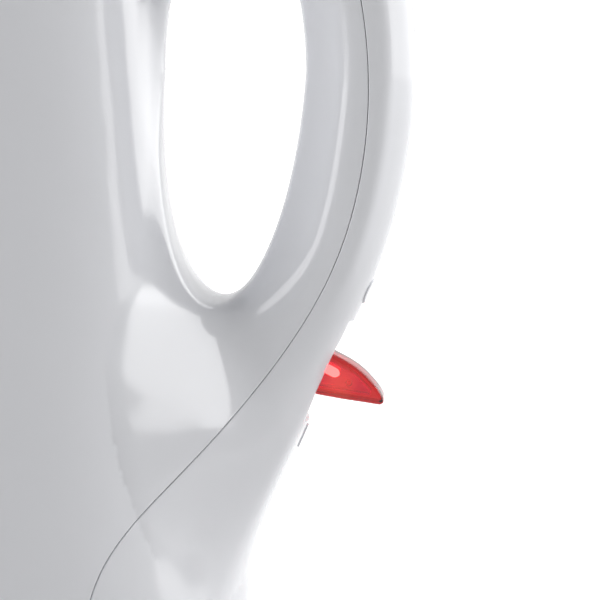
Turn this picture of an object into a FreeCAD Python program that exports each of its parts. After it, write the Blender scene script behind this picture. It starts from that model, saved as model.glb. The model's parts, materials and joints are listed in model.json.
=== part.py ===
"""Electric jug kettle on a round power base, as an assembly of separate pieces.

Millimetres, +Z up. The origin is on the axis of the jug and the base, on the surface that the base
stands on. The handle points to +X and the spout to -X, and the kettle is the same on both sides of Y = 0.
"""
import FreeCAD, Part
import math
import os

from FreeCAD import Vector

# Jug
FOOT_Z = 18.0            # lower edge of the jug, just above the base
RIM_Z = 238.0            # top edge of the jug, under the lid
FOOT_R = 75.0            # jug radius at the foot
RIM_R = 47.5             # jug radius at the rim
TAPER_POWER = 2.1        # how fast the jug narrows above the foot
WALL = 2.5               # moulded wall of the jug
CHAMBER_SHIFT = 1.4      # how far the water chamber lies in front of the jug's axis
CLEARANCE = 0.3          # between pieces that fit together
RUNNING = 0.05           # radial clearance of a pin in its hole

# Spout
SPOUT_REACH = 23.0       # how far the spout stands in front of the rim
SPOUT_NOSE_R = 9.0       # radius of the spout's lip, seen from above
SPOUT_HEIGHT = 72.0      # height of the spout below the rim
SPOUT_POWER = 1.5        # curve of the spout's front line

# Handle
HANDLE_REACH = 64.8      # how far the handle's back stands behind the jug
HANDLE_HALF = 13.0       # half the handle's width
HANDLE_NOSE = 18.0       # depth of the handle's rounded back
TAIL_HALF = 30.0         # half the width of the handle's tail at the foot
GRIP_BLEND = 9.0         # blend between the handle and the jug beside the finger hole
ROOT_BLEND = 22.0        # the same below the finger hole
COVER_WALL = 2.2         # moulded wall of the handle cover
SEAM_GAP = 0.3           # between the handle cover and the jug

# Finger hole in the handle
HOLE_BELOW_RIM = 66.5    # the hole's widest place, below the rim
HOLE_STAND = 2.1         # from the jug's side to the hole
GRIP_DEPTH = 26.2        # from the hole to the handle's back
HOLE_UP = 49.5           # from the hole's widest place to its top
HOLE_DOWN = 57.0         # from the hole's widest place to its bottom
HOLE_TILT = 3.5          # degrees that the hole leans, its lower end towards the jug
HOLE_EDGE = 1.8          # eased edge of the hole

# Switch lever
LEVER_UP = 77.8          # middle of the lever's slot above the foot
LEVER_DEPTH = 10.5       # pivot in front of the handle's back
LEVER_LENGTH = 16.0      # how far the lever stands out
LEVER_HALF = 4.2         # half the lever's width
LEVER_RISE = 5.8         # lever's top above its middle, at the slot
LEVER_DROP = 5.4         # lever's underside below its middle, at the slot
LEVER_TIP_R = 1.5
LEVER_WALL = 1.4
LEVER_TURN = 15.0        # degrees between on and off
LEVER_PIN_R = 1.25
RECESS_HALF = 7.6        # half the width of the flat recess around the lever
RECESS_UP = 14.5
RECESS_DOWN = 12.7
RECESS_DEPTH = 1.1
EAR_T = 1.6              # ears that carry the lever's pin
EAR_R = 2.8
SPRING_T = 0.6
HUB_R = 3.2
HOUSING_HALF = 8.0       # half the width of the switch housing
HOUSING_DROP = 9.5       # switch housing below the lever's pivot
HOUSING_ROOM = 1.9       # between the switch housing and the wall under the finger hole
LAMP_R = 1.8
LAMP_LENGTH = 10.5

# Under the water chamber
LEDGE_UP = 28.0          # ledge that the heating plate seals against, above the foot
LEDGE_T = 2.5
LEDGE_LIP = 4.0          # how far the ledge reaches over the heating plate's edge
PLATE_ROOM = 1.1         # between the heating plate and the screw bosses
PLATE_T = 1.2
SEAL_T = 1.2
SEAL_W = 3.5
HEATER_R = 42.0          # ring of the sheathed heating element
HEATER_TUBE_R = 3.5
HEATER_ARC = 300.0       # degrees of the ring
CONTROL_R = 24.0
BOTTOM_T = 2.0           # bottom cover
BOTTOM_UP = 1.5          # bottom cover above the jug's lower edge
STAND_ROOM = 1.3         # between the ring that the jug stands on and the screw heads
STAND_W = 4.0            # width of that ring
BOSS_R = 3.2
SCREW_R = 1.4
SCREW_HEAD_R = 2.6
SCREW_HEAD_T = 1.2
SCREW_GRIP = 8.0         # length of a screw in its boss
SCREW_COUNT = 3
SCREW_TURN = 60.0        # degrees from the handle to the first screw
BIMETAL_T = 0.5
SOCKET_WALL = 3.5

# Power base
BASE_R = 74.0
BASE_TOP = 17.0
BASE_WALL = 2.5
BASE_EDGE = 4.0          # rounded upper edge
BASE_SHADOW = 2.0        # lower edge of the shell above the surface it stands on
FEET_H = 1.6
FEET_R = 6.0
FEET_CIRCLE = 56.0
FEET_COUNT = 4
FEET_TURN = 45.0         # degrees from the handle to the first foot
FLOOR_T = 2.0
POST_R = 11.0            # round connector post in the middle of the base
POST_H = 15.0
POST_PLAY = 0.4          # between the post and the socket that it enters
POST_NECK_R = 16.5
POST_FLANGE_R = 19.0
POST_FLANGE_T = 3.0
RING_T = 0.8             # contact rings
RING_H = 2.0
RING_STEP = 5.0
EARTH_PIN_R = 2.5
EARTH_PIN_H = 2.0        # above the post
GLAND_R = 3.8
GLAND_BORE_R = 3.0
GLAND_LENGTH = 8.0
GLAND_COLLAR = 1.0
GLAND_STAND = 1.0        # how far the gland stands out of the base
TERMINAL_BACK = 34.0     # inner end of the terminal block, from the base's edge
TERMINAL_LENGTH = 14.0
TERMINAL_HALF = 9.0
TERMINAL_H = 6.5
STRIP_T = 0.6
STRIP_W = 3.0
STRIP_STEP = 5.0
BASE_SCREW_CIRCLE = 46.0

# Lid
LID_RISE = 12.0          # top of the lid above the rim
LID_FLAT_R = 20.0        # flat middle of the lid's top
LID_SIDE = 4.0           # height of the lid's side
LID_WALL = 2.2
LID_GAP = 0.5            # between the lid and the rim
PLUG_DEPTH = 6.0         # lid's inner plug below the rim
PLUG_CLEAR = 1.6
HINGE_BACK = 6.0         # hinge axis behind the rim
HINGE_RISE = 3.8         # hinge axis above the rim
HINGE_PIN_R = 1.5
KNUCKLE_R = 3.2
KNUCKLE_HALF = 6.5       # half the width of the lid's knuckle
HINGE_EAR_T = 4.0
STEAM_R = 3.0            # steam port from the chamber into the handle
STEAM_BELOW_RIM = 10.0
GRIP_LENGTH = 26.0
GRIP_HALF = 6.0
GRIP_H = 6.0

# Filter and water windows
FILTER_T = 2.0
FILTER_FORWARD = 37.0    # filter in front of the jug's axis
FILTER_H = 38.0
FILTER_BELOW_RIM = 8.5
FILTER_FRAME = 4.0
FILTER_MESH_T = 0.4
FILTER_PITCH = 3.0
FILTER_OPENING = 2.0
FILTER_HALF_OPEN = 15.0
WINDOW_FORWARD = 12.0    # middle of the window in front of the jug's axis
WINDOW_HALF = 7.0
WINDOW_BOTTOM_UP = 55.0
WINDOW_TOP_BELOW = 55.0
WINDOW_GAP = 0.15

JUG_H = RIM_Z - FOOT_Z
LEDGE_Z = FOOT_Z + LEDGE_UP
PLATE_Z = LEDGE_Z - SEAL_T - PLATE_T
SOCKET_R = POST_R + POST_PLAY
TERMINAL_X = BASE_R - TERMINAL_BACK
FAR = 3 * (FOOT_R + HANDLE_REACH)

# Shares of the jug's height, from foot to rim, with the handle's standing out as a share of its reach
BACK_LINE = [(0, -0.14), (0.11, 0.018), (0.17, 0.122), (0.25, 0.302), (0.33, 0.473), (0.45, 0.735),
             (0.6, 0.942), (0.74, 1.005), (0.87, 0.93), (0.945, 0.76), (1, 0.5)]
HALF_LINE = [(0, 1), (0.12, 0.65), (0.24, 0.26), (0.35, 0.06), (0.44, 0), (1, 0)]
# How far the blend of the handle into the jug has grown from its size at the grip to its size at the root
ROOT_LINE = [(0, 0), (0.12, 0.4), (0.26, 1), (0.35, 1), (0.47, 0), (0.9, 0), (1, 0.6)]
# Seam between the jug and the handle cover: share of height, and millimetres in front of the handle's back
SEAM_LINE = [(0, 30), (0.13, 34), (0.2, 32.3), (0.25, 26.9), (0.33, 17.4), (0.42, 12.6), (0.56, 10.9),
             (0.79, 12.2), (0.9, 14), (1, 20)]
SECTION_SHARES = [0, 0.055, 0.11, 0.17, 0.23, 0.29, 0.355, 0.42, 0.485, 0.555, 0.63, 0.705, 0.78, 0.855,
                  0.92, 0.965, 1]


def share_of(z):
    return min(1.0, max(0.0, (z - FOOT_Z) / JUG_H))


def along(line, share):
    """Value of a smooth curve through the points of a line."""
    i = max(k for k in range(len(line) - 1) if line[k][0] <= share)

    def slope(k):
        a, b = line[max(k - 1, 0)], line[min(k + 1, len(line) - 1)]
        return (b[1] - a[1]) / (b[0] - a[0])

    (s0, v0), (s1, v1) = line[i], line[i + 1]
    h = s1 - s0
    t = (share - s0) / h
    start = (1 + 2 * t) * (1 - t) ** 2 * v0 + t * (1 - t) ** 2 * h * slope(i)
    return start + t * t * (3 - 2 * t) * v1 + t * t * (t - 1) * h * slope(i + 1)


def jug_radius(z):
    return RIM_R + (FOOT_R - RIM_R) * (1 - share_of(z)) ** TAPER_POWER


def back_x(z):
    return jug_radius(z) + HANDLE_REACH * along(BACK_LINE, share_of(z))


def handle_half(z):
    return HANDLE_HALF + (TAIL_HALF - HANDLE_HALF) * along(HALF_LINE, share_of(z))


def jug_section(z, inset=0.0, shift=0.0):
    """Plan of the jug with its spout at height z, as a signed distance."""
    r = jug_radius(z) - inset
    up = max(0.0, (z - RIM_Z + SPOUT_HEIGHT) / SPOUT_HEIGHT)
    nose = SPOUT_NOSE_R - inset
    ahead = r + SPOUT_REACH * up ** SPOUT_POWER - nose
    lean = (r - nose) / ahead
    across = math.sqrt(max(0.0, 1 - lean * lean))

    def distance(x, y):
        p, q = abs(y), -x - shift
        k = across * q - lean * p
        if k <= 0:
            return math.hypot(p, q) - r
        if k > across * ahead:
            return math.hypot(p, q - ahead) - nose
        return across * p + lean * q - r
    return distance


def outer_section(z):
    """Plan of the jug and the handle, blended together."""
    jug = jug_section(z)
    half = handle_half(z)
    start = back_x(z) - HANDLE_NOSE
    soft = GRIP_BLEND + (ROOT_BLEND - GRIP_BLEND) * along(ROOT_LINE, share_of(z))

    def distance(x, y):
        a = jug(x, y)
        if x < 0:
            return a
        b = half * (math.hypot(max(0.0, (x - start) / HANDLE_NOSE), y / half) - 1)
        h = min(1.0, max(0.0, 0.5 + 0.5 * (b - a) / soft))
        return b * (1 - h) + a * h - soft * h * (1 - h)
    return distance


def handle_hollow_section(z):
    """Plan of the space inside the handle, which starts inside the jug's wall."""
    half = handle_half(z) - WALL
    nose = HANDLE_NOSE - WALL
    start = back_x(z) - HANDLE_NOSE
    front = jug_radius(z) - HANDLE_NOSE

    def distance(x, y):
        return half * (math.hypot(max(0.0, x - start, front - x) / nose, y / half) - 1)
    return distance


def contour(distance, z, level=0.0, centre=0.0, rays=120, count=56):
    """Closed curve at height z where the distance equals the level."""
    def reach(angle):
        low, high = 0.0, FAR
        for _ in range(34):
            mid = (low + high) / 2
            if distance(centre + mid * math.cos(angle), mid * math.sin(angle)) < level:
                low = mid
            else:
                high = mid
        return Vector(centre + low * math.cos(angle), low * math.sin(angle), z)

    angles = [math.pi + 2 * math.pi * i / rays for i in range(rays + 1)]
    spots = [reach(angle) for angle in angles]
    run = [0.0]
    for p, q in zip(spots, spots[1:]):
        run.append(run[-1] + p.distanceToPoint(q))
    points = []
    k = 0
    for i in range(count):
        want = run[-1] * i / count
        while run[k + 1] < want:
            k += 1
        t = (want - run[k]) / (run[k + 1] - run[k])
        points.append(reach(angles[k] + t * (angles[k + 1] - angles[k])))
    curve = Part.BSplineCurve()
    curve.interpolate(Points=points, PeriodicFlag=True, Parameters=[i / count for i in range(count + 1)])
    return Part.Wire(curve.toShape())


def heights(low=FOOT_Z, high=RIM_Z):
    """Heights of the sections between two heights, both included."""
    inner = [FOOT_Z + share * JUG_H for share in SECTION_SHARES]
    return [low] + [z for z in inner if low + 2 < z < high - 2] + [high]


def loft(section, levels, level=0.0, centre=None):
    wires = [contour(section(z), z, level, centre(z) if centre else 0.0) for z in levels]
    return Part.makeLoft(wires, True, False)


def disc(r, low, high, x=0.0, y=0.0):
    return Part.makeCylinder(r, high - low, Vector(x, y, low))


def ring(inner, outer, low, high, x=0.0, y=0.0):
    return disc(outer, low, high, x, y).cut(disc(inner, low - 1, high + 1, x, y))


def box(x0, x1, y0, y1, z0, z1):
    return Part.makeBox(x1 - x0, y1 - y0, z1 - z0, Vector(x0, y0, z0))


def on_circle(r, count, first=0.0, x=0.0):
    turns = [math.radians(first + 360.0 * i / count) for i in range(count)]
    return [(x + r * math.cos(a), r * math.sin(a)) for a in turns]


def fuse(first, *others):
    return first.multiFuse(list(others)).removeSplitter() if others else first


def side_prism(wire, half):
    """Solid from an outline in the XZ plane, reaching half to each side of Y = 0."""
    return Part.Face(wire).extrude(Vector(0, 2 * half, 0)).translated(Vector(0, -half, 0))


def hole_outline(grow=0.0, y=0.0):
    """Egg-shaped outline of the finger hole, across the handle at y."""
    z = RIM_Z - HOLE_BELOW_RIM
    front = jug_radius(z) + HOLE_STAND - grow
    back = back_x(z) - GRIP_DEPTH + grow
    centre = Vector((front + back) / 2, y, z)
    side = Vector((back - front) / 2, 0, 0)
    halves = []
    for tip in (HOLE_UP + grow, -HOLE_DOWN - grow):
        ellipse = Part.Ellipse(centre + Vector(0, 0, tip), centre + side, centre)
        halves.append(ellipse.toShape(-math.pi / 2, math.pi / 2))
    wire = Part.Wire(halves)
    wire.rotate(centre, Vector(0, 1, 0), HOLE_TILT)
    return wire


def finger_hole():
    """Finger hole, wider at both sides of the handle where its edges are eased."""
    hole = side_prism(hole_outline(), FAR)
    for side in (1, -1):
        inner = hole_outline(0, side * (HANDLE_HALF - HOLE_EDGE))
        outer = hole_outline(HOLE_EDGE, side * HANDLE_HALF)
        flare = Part.makeLoft([inner, outer], True, True)
        hole = fuse(hole, flare, Part.Face(outer).extrude(Vector(0, side * FAR, 0)))
    return hole


def behind_seam(gap):
    """Everything behind the seam between the jug and the handle cover."""
    points = [Vector(back_x(z) - along(SEAM_LINE, share_of(z)) + gap, 0, z) for z in heights()]
    curve = Part.BSplineCurve()
    curve.interpolate(points)
    low, high = points[0], points[-1]
    corners = [high, Vector(high.x, 0, high.z + WALL), Vector(FAR, 0, high.z + WALL),
               Vector(FAR, 0, low.z - WALL), Vector(low.x, 0, low.z - WALL), low]
    return side_prism(Part.Wire([curve.toShape()] + Part.makePolygon(corners).Edges), FAR)


def chamber_section(z, inset=0.0):
    return jug_section(z, WALL + CHAMBER_SHIFT + inset, CHAMBER_SHIFT)


def at_lever(shape):
    """Carries a shape from the lever's own frame, with its pivot at the origin, to its place."""
    z = FOOT_Z + LEVER_UP
    slope = math.atan((back_x(z + 1) - back_x(z - 1)) / 2)
    out = Vector(math.cos(slope), 0, -math.sin(slope))
    pivot = Vector(back_x(z), 0, z) - out * LEVER_DEPTH
    placed = shape.copy()
    placed.Placement = FreeCAD.Placement(pivot, FreeCAD.Rotation(Vector(0, 1, 0), math.degrees(slope)))
    return placed


def pivot_point():
    return at_lever(Part.Vertex(0, 0, 0)).Point


def across(r, half, x=0.0, z=0.0):
    """Round bar along Y."""
    return Part.makeCylinder(r, 2 * half, Vector(x, -half, z), Vector(0, 1, 0))


def window_slot(gap):
    x = -WINDOW_FORWARD
    low = FOOT_Z + WINDOW_BOTTOM_UP + WINDOW_HALF
    high = RIM_Z - WINDOW_TOP_BELOW - WINDOW_HALF
    half = WINDOW_HALF - gap
    slot = box(x - half, x + half, -FAR, FAR, low, high)
    return fuse(slot, across(half, FAR, x, low), across(half, FAR, x, high))


def boss_circle():
    """Radius on which the skirt's screw bosses stand, half sunk into its wall at the ledge."""
    return jug_radius(LEDGE_Z) - WALL / 2 - CHAMBER_SHIFT - BOSS_R


def plate_r():
    """Radius of the heating plate, which lies inside the bosses."""
    return boss_circle() - BOSS_R - PLATE_ROOM


def bottom_screw_spots():
    return on_circle(boss_circle(), SCREW_COUNT, SCREW_TURN, -CHAMBER_SHIFT)


def base_screw_spots():
    return on_circle(BASE_SCREW_CIRCLE, SCREW_COUNT, SCREW_TURN)


def screw_boss(low, high, x, y):
    return ring(SCREW_R + RUNNING, BOSS_R, low, high, x, y)


def screw(seat, length, x, y):
    """Screw driven upwards, with its head under the seat."""
    head = disc(SCREW_HEAD_R, seat - SCREW_HEAD_T, seat, x, y)
    return fuse(head, disc(SCREW_R, seat, seat + length, x, y))


def hinge_bar(r, y0, y1):
    start = Vector(RIM_R + HINGE_BACK, y0, RIM_Z + HINGE_RISE)
    return Part.makeCylinder(r, y1 - y0, start, Vector(0, 1, 0))


def hinge_ear(side):
    near = side * (KNUCKLE_HALF + CLEARANCE)
    y0, y1 = sorted((near, near + side * HINGE_EAR_T))
    x = RIM_R + HINGE_BACK
    foot = box(x - KNUCKLE_R, x + KNUCKLE_R, y0, y1, RIM_Z - WALL / 2, RIM_Z + HINGE_RISE)
    return foot.fuse(hinge_bar(KNUCKLE_R, y0, y1)).cut(hinge_bar(HINGE_PIN_R + RUNNING, -FAR, FAR))


def make_jug_body(outer, chamber):
    """Jug with the front half of the handle, open at the back of the handle and under the heating plate."""
    vessel = loft(lambda z: jug_section(z, COVER_WALL + SEAM_GAP),
                  heights(FOOT_Z + CLEARANCE, RIM_Z - WALL))
    hollow = loft(handle_hollow_section, heights(LEDGE_Z, RIM_Z - WALL), 0.0,
                  lambda z: (jug_radius(z) + back_x(z) - HANDLE_NOSE) / 2)
    hollow = hollow.cut(loft(jug_section, heights())).cut(side_prism(hole_outline(WALL), FAR))
    skirt = loft(chamber_section, heights(FOOT_Z - WALL, LEDGE_Z))
    body = outer.cut(behind_seam(0)).cut(finger_hole()).cut(hollow).fuse(vessel)
    body = body.cut(chamber).cut(skirt)
    body = body.cut(disc(plate_r() - LEDGE_LIP, LEDGE_Z - WALL, LEDGE_Z + LEDGE_T + WALL, -CHAMBER_SHIFT))
    port_start = Vector(RIM_R - 2 * SPOUT_NOSE_R, 0, RIM_Z - STEAM_BELOW_RIM)
    body = body.cut(Part.makeCylinder(STEAM_R, 3 * SPOUT_NOSE_R, port_start, Vector(1, 0, 0)))
    body = body.cut(window_slot(0))
    low = FOOT_Z + BOTTOM_UP + BOTTOM_T
    for x, y in bottom_screw_spots():
        body = body.fuse(screw_boss(low, LEDGE_Z + LEDGE_T / 2, x, y))
    return body.fuse(hinge_ear(1)).fuse(hinge_ear(-1))


def make_handle_cover(outer):
    """Thin shell behind the seam, with a flat recess and a slot for the lever."""
    inside = loft(outer_section, heights(FOOT_Z - WALL, RIM_Z - COVER_WALL), -COVER_WALL)
    floor = LEVER_DEPTH - RECESS_DEPTH
    recess = box(floor, FAR, -RECESS_HALF, RECESS_HALF, -RECESS_DOWN, RECESS_UP)
    swing = LEVER_DEPTH * math.sin(math.radians(LEVER_TURN))
    gap = 2 * CLEARANCE
    slot = box(0, FAR, -LEVER_HALF - gap, LEVER_HALF + gap, -LEVER_DROP - gap, LEVER_RISE + swing + gap)
    return outer.common(behind_seam(SEAM_GAP)).cut(inside).cut(at_lever(recess)).cut(at_lever(slot))


def lever_outline(wall):
    """Pointed outline of the lever from the side, thinner by a wall all round."""
    d, tip = LEVER_DEPTH, LEVER_DEPTH + LEVER_LENGTH - wall
    under = Vector(tip - LEVER_TIP_R, 0, -LEVER_TIP_R / 4 + wall)
    nose = Vector(tip, 0, 0.6 * LEVER_TIP_R)
    over = Vector(tip - LEVER_TIP_R / 2, 0, 1.6 * LEVER_TIP_R - wall / 2)
    bulge = Vector(d + LEVER_LENGTH / 2, 0, 0.88 * LEVER_RISE - wall)
    root_top, root_under = Vector(d, 0, LEVER_RISE - wall), Vector(d, 0, -LEVER_DROP + wall)
    back_top, back_under = Vector(0, 0, LEVER_RISE - wall), Vector(0, 0, -LEVER_DROP + wall)
    top = Part.BSplineCurve()
    top.interpolate([root_top, bulge, over])
    edges = [Part.Arc(under, nose, over).toShape(), top.toShape()]
    edges += Part.makePolygon([root_top, back_top, back_under, root_under, under]).Edges
    return Part.Wire(Part.__sortEdges__(edges))


def make_switch_lever():
    """Hollow lever, pointed outside the handle and round about its pin inside."""
    drum_r = LEVER_DEPTH - COVER_WALL - CLEARANCE
    reach = fuse(side_prism(lever_outline(0), LEVER_HALF), across(drum_r, LEVER_HALF))
    hollow = fuse(side_prism(lever_outline(LEVER_WALL), LEVER_HALF - LEVER_WALL),
                  across(drum_r - LEVER_WALL, LEVER_HALF - LEVER_WALL))
    behind = box(-FAR, -HUB_R, -FAR, FAR, -FAR, FAR)
    shell = reach.cut(hollow).cut(behind)
    hub = across(HUB_R, LEVER_HALF)
    return at_lever(fuse(shell, hub).cut(across(LEVER_PIN_R + RUNNING, FAR)))


def make_neon_lamp():
    start = Vector(HUB_R + CLEARANCE, 0, LAMP_R / 2)
    straight = LAMP_LENGTH - LAMP_R
    bulb = Part.makeCylinder(LAMP_R, straight, start, Vector(1, 0, 0))
    return at_lever(fuse(bulb, Part.makeSphere(LAMP_R, start + Vector(straight, 0, 0))))


def housing_front():
    return pivot_point().x - LEVER_DEPTH


def housing_back():
    return jug_radius(pivot_point().z - HOUSING_DROP) + CLEARANCE


def housing_top():
    return RIM_Z - HOLE_BELOW_RIM - HOLE_DOWN - WALL - HOUSING_ROOM


def make_switch_housing():
    pivot = pivot_point()
    front = housing_front()
    body = box(housing_back(), front, -HOUSING_HALF, HOUSING_HALF, pivot.z - HOUSING_DROP, housing_top())
    inner = LEVER_HALF + CLEARANCE
    for side in (1, -1):
        y0, y1 = sorted((side * inner, side * (inner + EAR_T)))
        arm = box(front - EAR_T, pivot.x, y0, y1, pivot.z - EAR_R, pivot.z + EAR_R)
        ear = Part.makeCylinder(EAR_R, EAR_T, Vector(pivot.x, y0, pivot.z), Vector(0, 1, 0))
        body = fuse(body, arm, ear)
    return body.cut(across(LEVER_PIN_R + RUNNING, FAR, pivot.x, pivot.z))


def make_lever_pin():
    pivot = pivot_point()
    return across(LEVER_PIN_R, LEVER_HALF + CLEARANCE + EAR_T, pivot.x, pivot.z)


def make_detent_spring():
    """Leaf spring between the housing and the lever's hub."""
    pivot = pivot_point()
    return box(housing_front(), pivot.x - HUB_R - CLEARANCE, -LEVER_HALF / 2, LEVER_HALF / 2,
               pivot.z - SPRING_T / 2, pivot.z + SPRING_T / 2)


def make_steam_bimetal():
    """Round bimetal on top of the switch housing, where steam from the handle reaches it."""
    middle = (housing_back() + housing_front()) / 2
    r = housing_front() - middle - EAR_T
    low = housing_top() + CLEARANCE / 2
    return disc(r, low, low + BIMETAL_T, middle)


def make_water_windows(outer, chamber):
    """Clear windows in both sides of the jug, flush with its wall."""
    both = outer.common(window_slot(WINDOW_GAP)).cut(chamber)
    near = [s for s in both.Solids if s.CenterOfMass.y < 0]
    far = [s for s in both.Solids if s.CenterOfMass.y > 0]
    return near[0], far[0]


def filter_heights():
    high = RIM_Z - FILTER_BELOW_RIM
    return high - FILTER_H, high


def make_filter_frame():
    low, high = filter_heights()
    space = loft(lambda z: chamber_section(z, CLEARANCE), heights(low, high))
    back = -FILTER_FORWARD
    plate = space.common(box(back - FILTER_T, back, -FAR, FAR, low, high))
    rim = FILTER_FRAME
    return plate.cut(box(-FAR, FAR, -FILTER_HALF_OPEN, FILTER_HALF_OPEN, low + rim, high - rim))


def make_filter_mesh():
    """Woven mesh in the filter's opening, as one plate with square openings."""
    low, high = filter_heights()
    low, high, half = low + FILTER_FRAME, high - FILTER_FRAME, FILTER_HALF_OPEN
    middle = -FILTER_FORWARD - FILTER_T / 2
    plate = box(middle - FILTER_MESH_T / 2, middle + FILTER_MESH_T / 2, -half, half, low, high)
    columns = int((2 * half - FILTER_PITCH) / FILTER_PITCH)
    rows = int((high - low - FILTER_PITCH) / FILTER_PITCH)
    openings = []
    for i in range(columns):
        for k in range(rows):
            y = (i - (columns - 1) / 2) * FILTER_PITCH
            z = (low + high) / 2 + (k - (rows - 1) / 2) * FILTER_PITCH
            o = FILTER_OPENING / 2
            openings.append(box(middle - 1, middle + 1, y - o, y + o, z - o, z + o))
    return plate.cut(Part.makeCompound(openings))


def make_heating_plate():
    return disc(plate_r(), PLATE_Z, PLATE_Z + PLATE_T, -CHAMBER_SHIFT)


def make_plate_seal():
    return ring(plate_r() - SEAL_W, plate_r(), LEDGE_Z - SEAL_T, LEDGE_Z, -CHAMBER_SHIFT)


def make_heating_element():
    """Sheathed tube bent to an open ring under the plate."""
    centre = Vector(-CHAMBER_SHIFT, 0, PLATE_Z - HEATER_TUBE_R - RUNNING)
    tube = Part.makeTorus(HEATER_R, HEATER_TUBE_R, centre, Vector(0, 0, 1), 0, 360, HEATER_ARC)
    return tube.rotated(centre, Vector(0, 0, 1), 180 - HEATER_ARC / 2)


def socket_top():
    return BASE_TOP + POST_H + EARTH_PIN_H + 2 * CLEARANCE


def make_connector_socket():
    """Round socket that the base's post enters from below."""
    low, high = FOOT_Z + CLEARANCE, socket_top() + SOCKET_WALL
    bore = BASE_TOP + POST_H + CLEARANCE
    body = disc(SOCKET_R + SOCKET_WALL, low, high).cut(disc(SOCKET_R, low - 1, bore))
    body = body.cut(disc(EARTH_PIN_R + CLEARANCE, low, socket_top()))
    for z in ring_heights():
        body = body.cut(ring(SOCKET_R, SOCKET_R + RING_T, z, z + RING_H))
    return body


def ring_heights():
    return [BASE_TOP + POST_H / 2 + k * RING_STEP - RING_H / 2 for k in (-0.5, 0.5)]


def make_socket_contacts():
    return Part.makeCompound([ring(SOCKET_R, SOCKET_R + RING_T, z, z + RING_H) for z in ring_heights()])


def make_control_unit():
    """Phenolic control between the socket and the heating plate."""
    return disc(CONTROL_R, socket_top() + SOCKET_WALL, PLATE_Z - BIMETAL_T)


def make_control_bimetals():
    spots = on_circle(CONTROL_R / 2, 2, 90)
    return Part.makeCompound([disc(CONTROL_R / 4, PLATE_Z - BIMETAL_T, PLATE_Z, x, y) for x, y in spots])


def make_bottom_cover():
    low = FOOT_Z + BOTTOM_UP
    r = jug_radius(low + BOTTOM_T) - WALL - CHAMBER_SHIFT - CLEARANCE
    cover = disc(r, low, low + BOTTOM_T, -CHAMBER_SHIFT)
    stand = boss_circle() - SCREW_HEAD_R - STAND_ROOM - CHAMBER_SHIFT
    cover = fuse(cover, ring(stand - STAND_W, stand, BASE_TOP + CLEARANCE, low + BOTTOM_T / 2))
    cover = cover.cut(disc(SOCKET_R + SOCKET_WALL + CLEARANCE, FOOT_Z - WALL, LEDGE_Z))
    for x, y in bottom_screw_spots():
        cover = cover.cut(disc(SCREW_R + CLEARANCE, low - 1, LEDGE_Z, x, y))
    return cover


def make_bottom_screws():
    length = BOTTOM_T + SCREW_GRIP
    return Part.makeCompound([screw(FOOT_Z + BOTTOM_UP, length, x, y)
                              for x, y in bottom_screw_spots()])


def revolve(points):
    """Solid of revolution about the Z axis from corners in the XZ plane, or curves between them."""
    edges = []
    for a, b in zip(points, points[1:] + points[:1]):
        start = a if isinstance(a, Vector) else a[-1]
        end = b if isinstance(b, Vector) else b[0]
        if not isinstance(a, Vector):
            curve = Part.BezierCurve()
            curve.setPoles(a)
            edges.append(curve.toShape())
        if start.distanceToPoint(end) > 1e-6:
            edges.append(Part.makeLine(start, end))
    return Part.Face(Part.Wire(edges)).revolve(Vector(0, 0, 0), Vector(0, 0, 1), 360)


def make_base_shell():
    """Round cover of the base, with bosses for its screws and a hole for the gland."""
    r, top, edge, hole = BASE_R, BASE_TOP, BASE_EDGE, POST_NECK_R + CLEARANCE
    inner, ceiling = BASE_R - BASE_WALL, BASE_TOP - BASE_WALL
    rounded = [Vector(r, 0, top - edge), Vector(r, 0, top - edge / 2), Vector(r - edge / 2, 0, top),
               Vector(r - edge, 0, top)]
    shell = revolve([Vector(r, 0, BASE_SHADOW), rounded, Vector(hole, 0, top), Vector(hole, 0, ceiling),
                     Vector(inner - edge / 2, 0, ceiling), Vector(inner, 0, ceiling - edge / 2),
                     Vector(inner, 0, BASE_SHADOW)])
    shell = shell.cut(gland_bar(GLAND_R + RUNNING, FAR))
    for x, y in base_screw_spots():
        shell = shell.fuse(screw_boss(FEET_H + FLOOR_T, top - BASE_WALL / 2, x, y))
    return shell


def gland_bar(r, length):
    z = FEET_H + FLOOR_T + GLAND_R + GLAND_COLLAR + CLEARANCE
    return Part.makeCylinder(r, length, Vector(BASE_R - GLAND_LENGTH + GLAND_STAND, 0, z), Vector(1, 0, 0))


def make_cord_gland():
    """Bush that the mains lead would leave the base through."""
    body = gland_bar(GLAND_R, GLAND_LENGTH)
    inside = GLAND_LENGTH - GLAND_STAND - BASE_WALL - BASE_EDGE / 2 - CLEARANCE
    collar = gland_bar(GLAND_R + GLAND_COLLAR, inside)
    return fuse(body, collar).cut(gland_bar(GLAND_BORE_R, FAR))


def flange_z():
    return BASE_TOP - BASE_WALL - CLEARANCE - POST_FLANGE_T


def make_base_bottom():
    """Floor of the base with a round seat for the connector post."""
    low = FEET_H
    plate = disc(BASE_R - BASE_WALL - CLEARANCE, low, low + FLOOR_T)
    bore = POST_FLANGE_R - BOSS_R - BASE_WALL
    seat = ring(bore, POST_FLANGE_R, low + FLOOR_T / 2, flange_z() - CLEARANCE)
    half = STRIP_STEP + STRIP_W
    seat = seat.cut(box(0, FAR, -half, half, low + FLOOR_T, BASE_TOP))
    plate = fuse(plate, seat)
    for x, y in base_screw_spots():
        plate = plate.cut(disc(SCREW_R + CLEARANCE, 0, BASE_TOP, x, y))
    return plate


def make_base_feet():
    spots = on_circle(FEET_CIRCLE, FEET_COUNT, FEET_TURN)
    return Part.makeCompound([disc(FEET_R, 0, FEET_H, x, y) for x, y in spots])


def make_base_screws():
    length = FLOOR_T + SCREW_GRIP
    return Part.makeCompound([screw(FEET_H, length, x, y) for x, y in base_screw_spots()])


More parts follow.
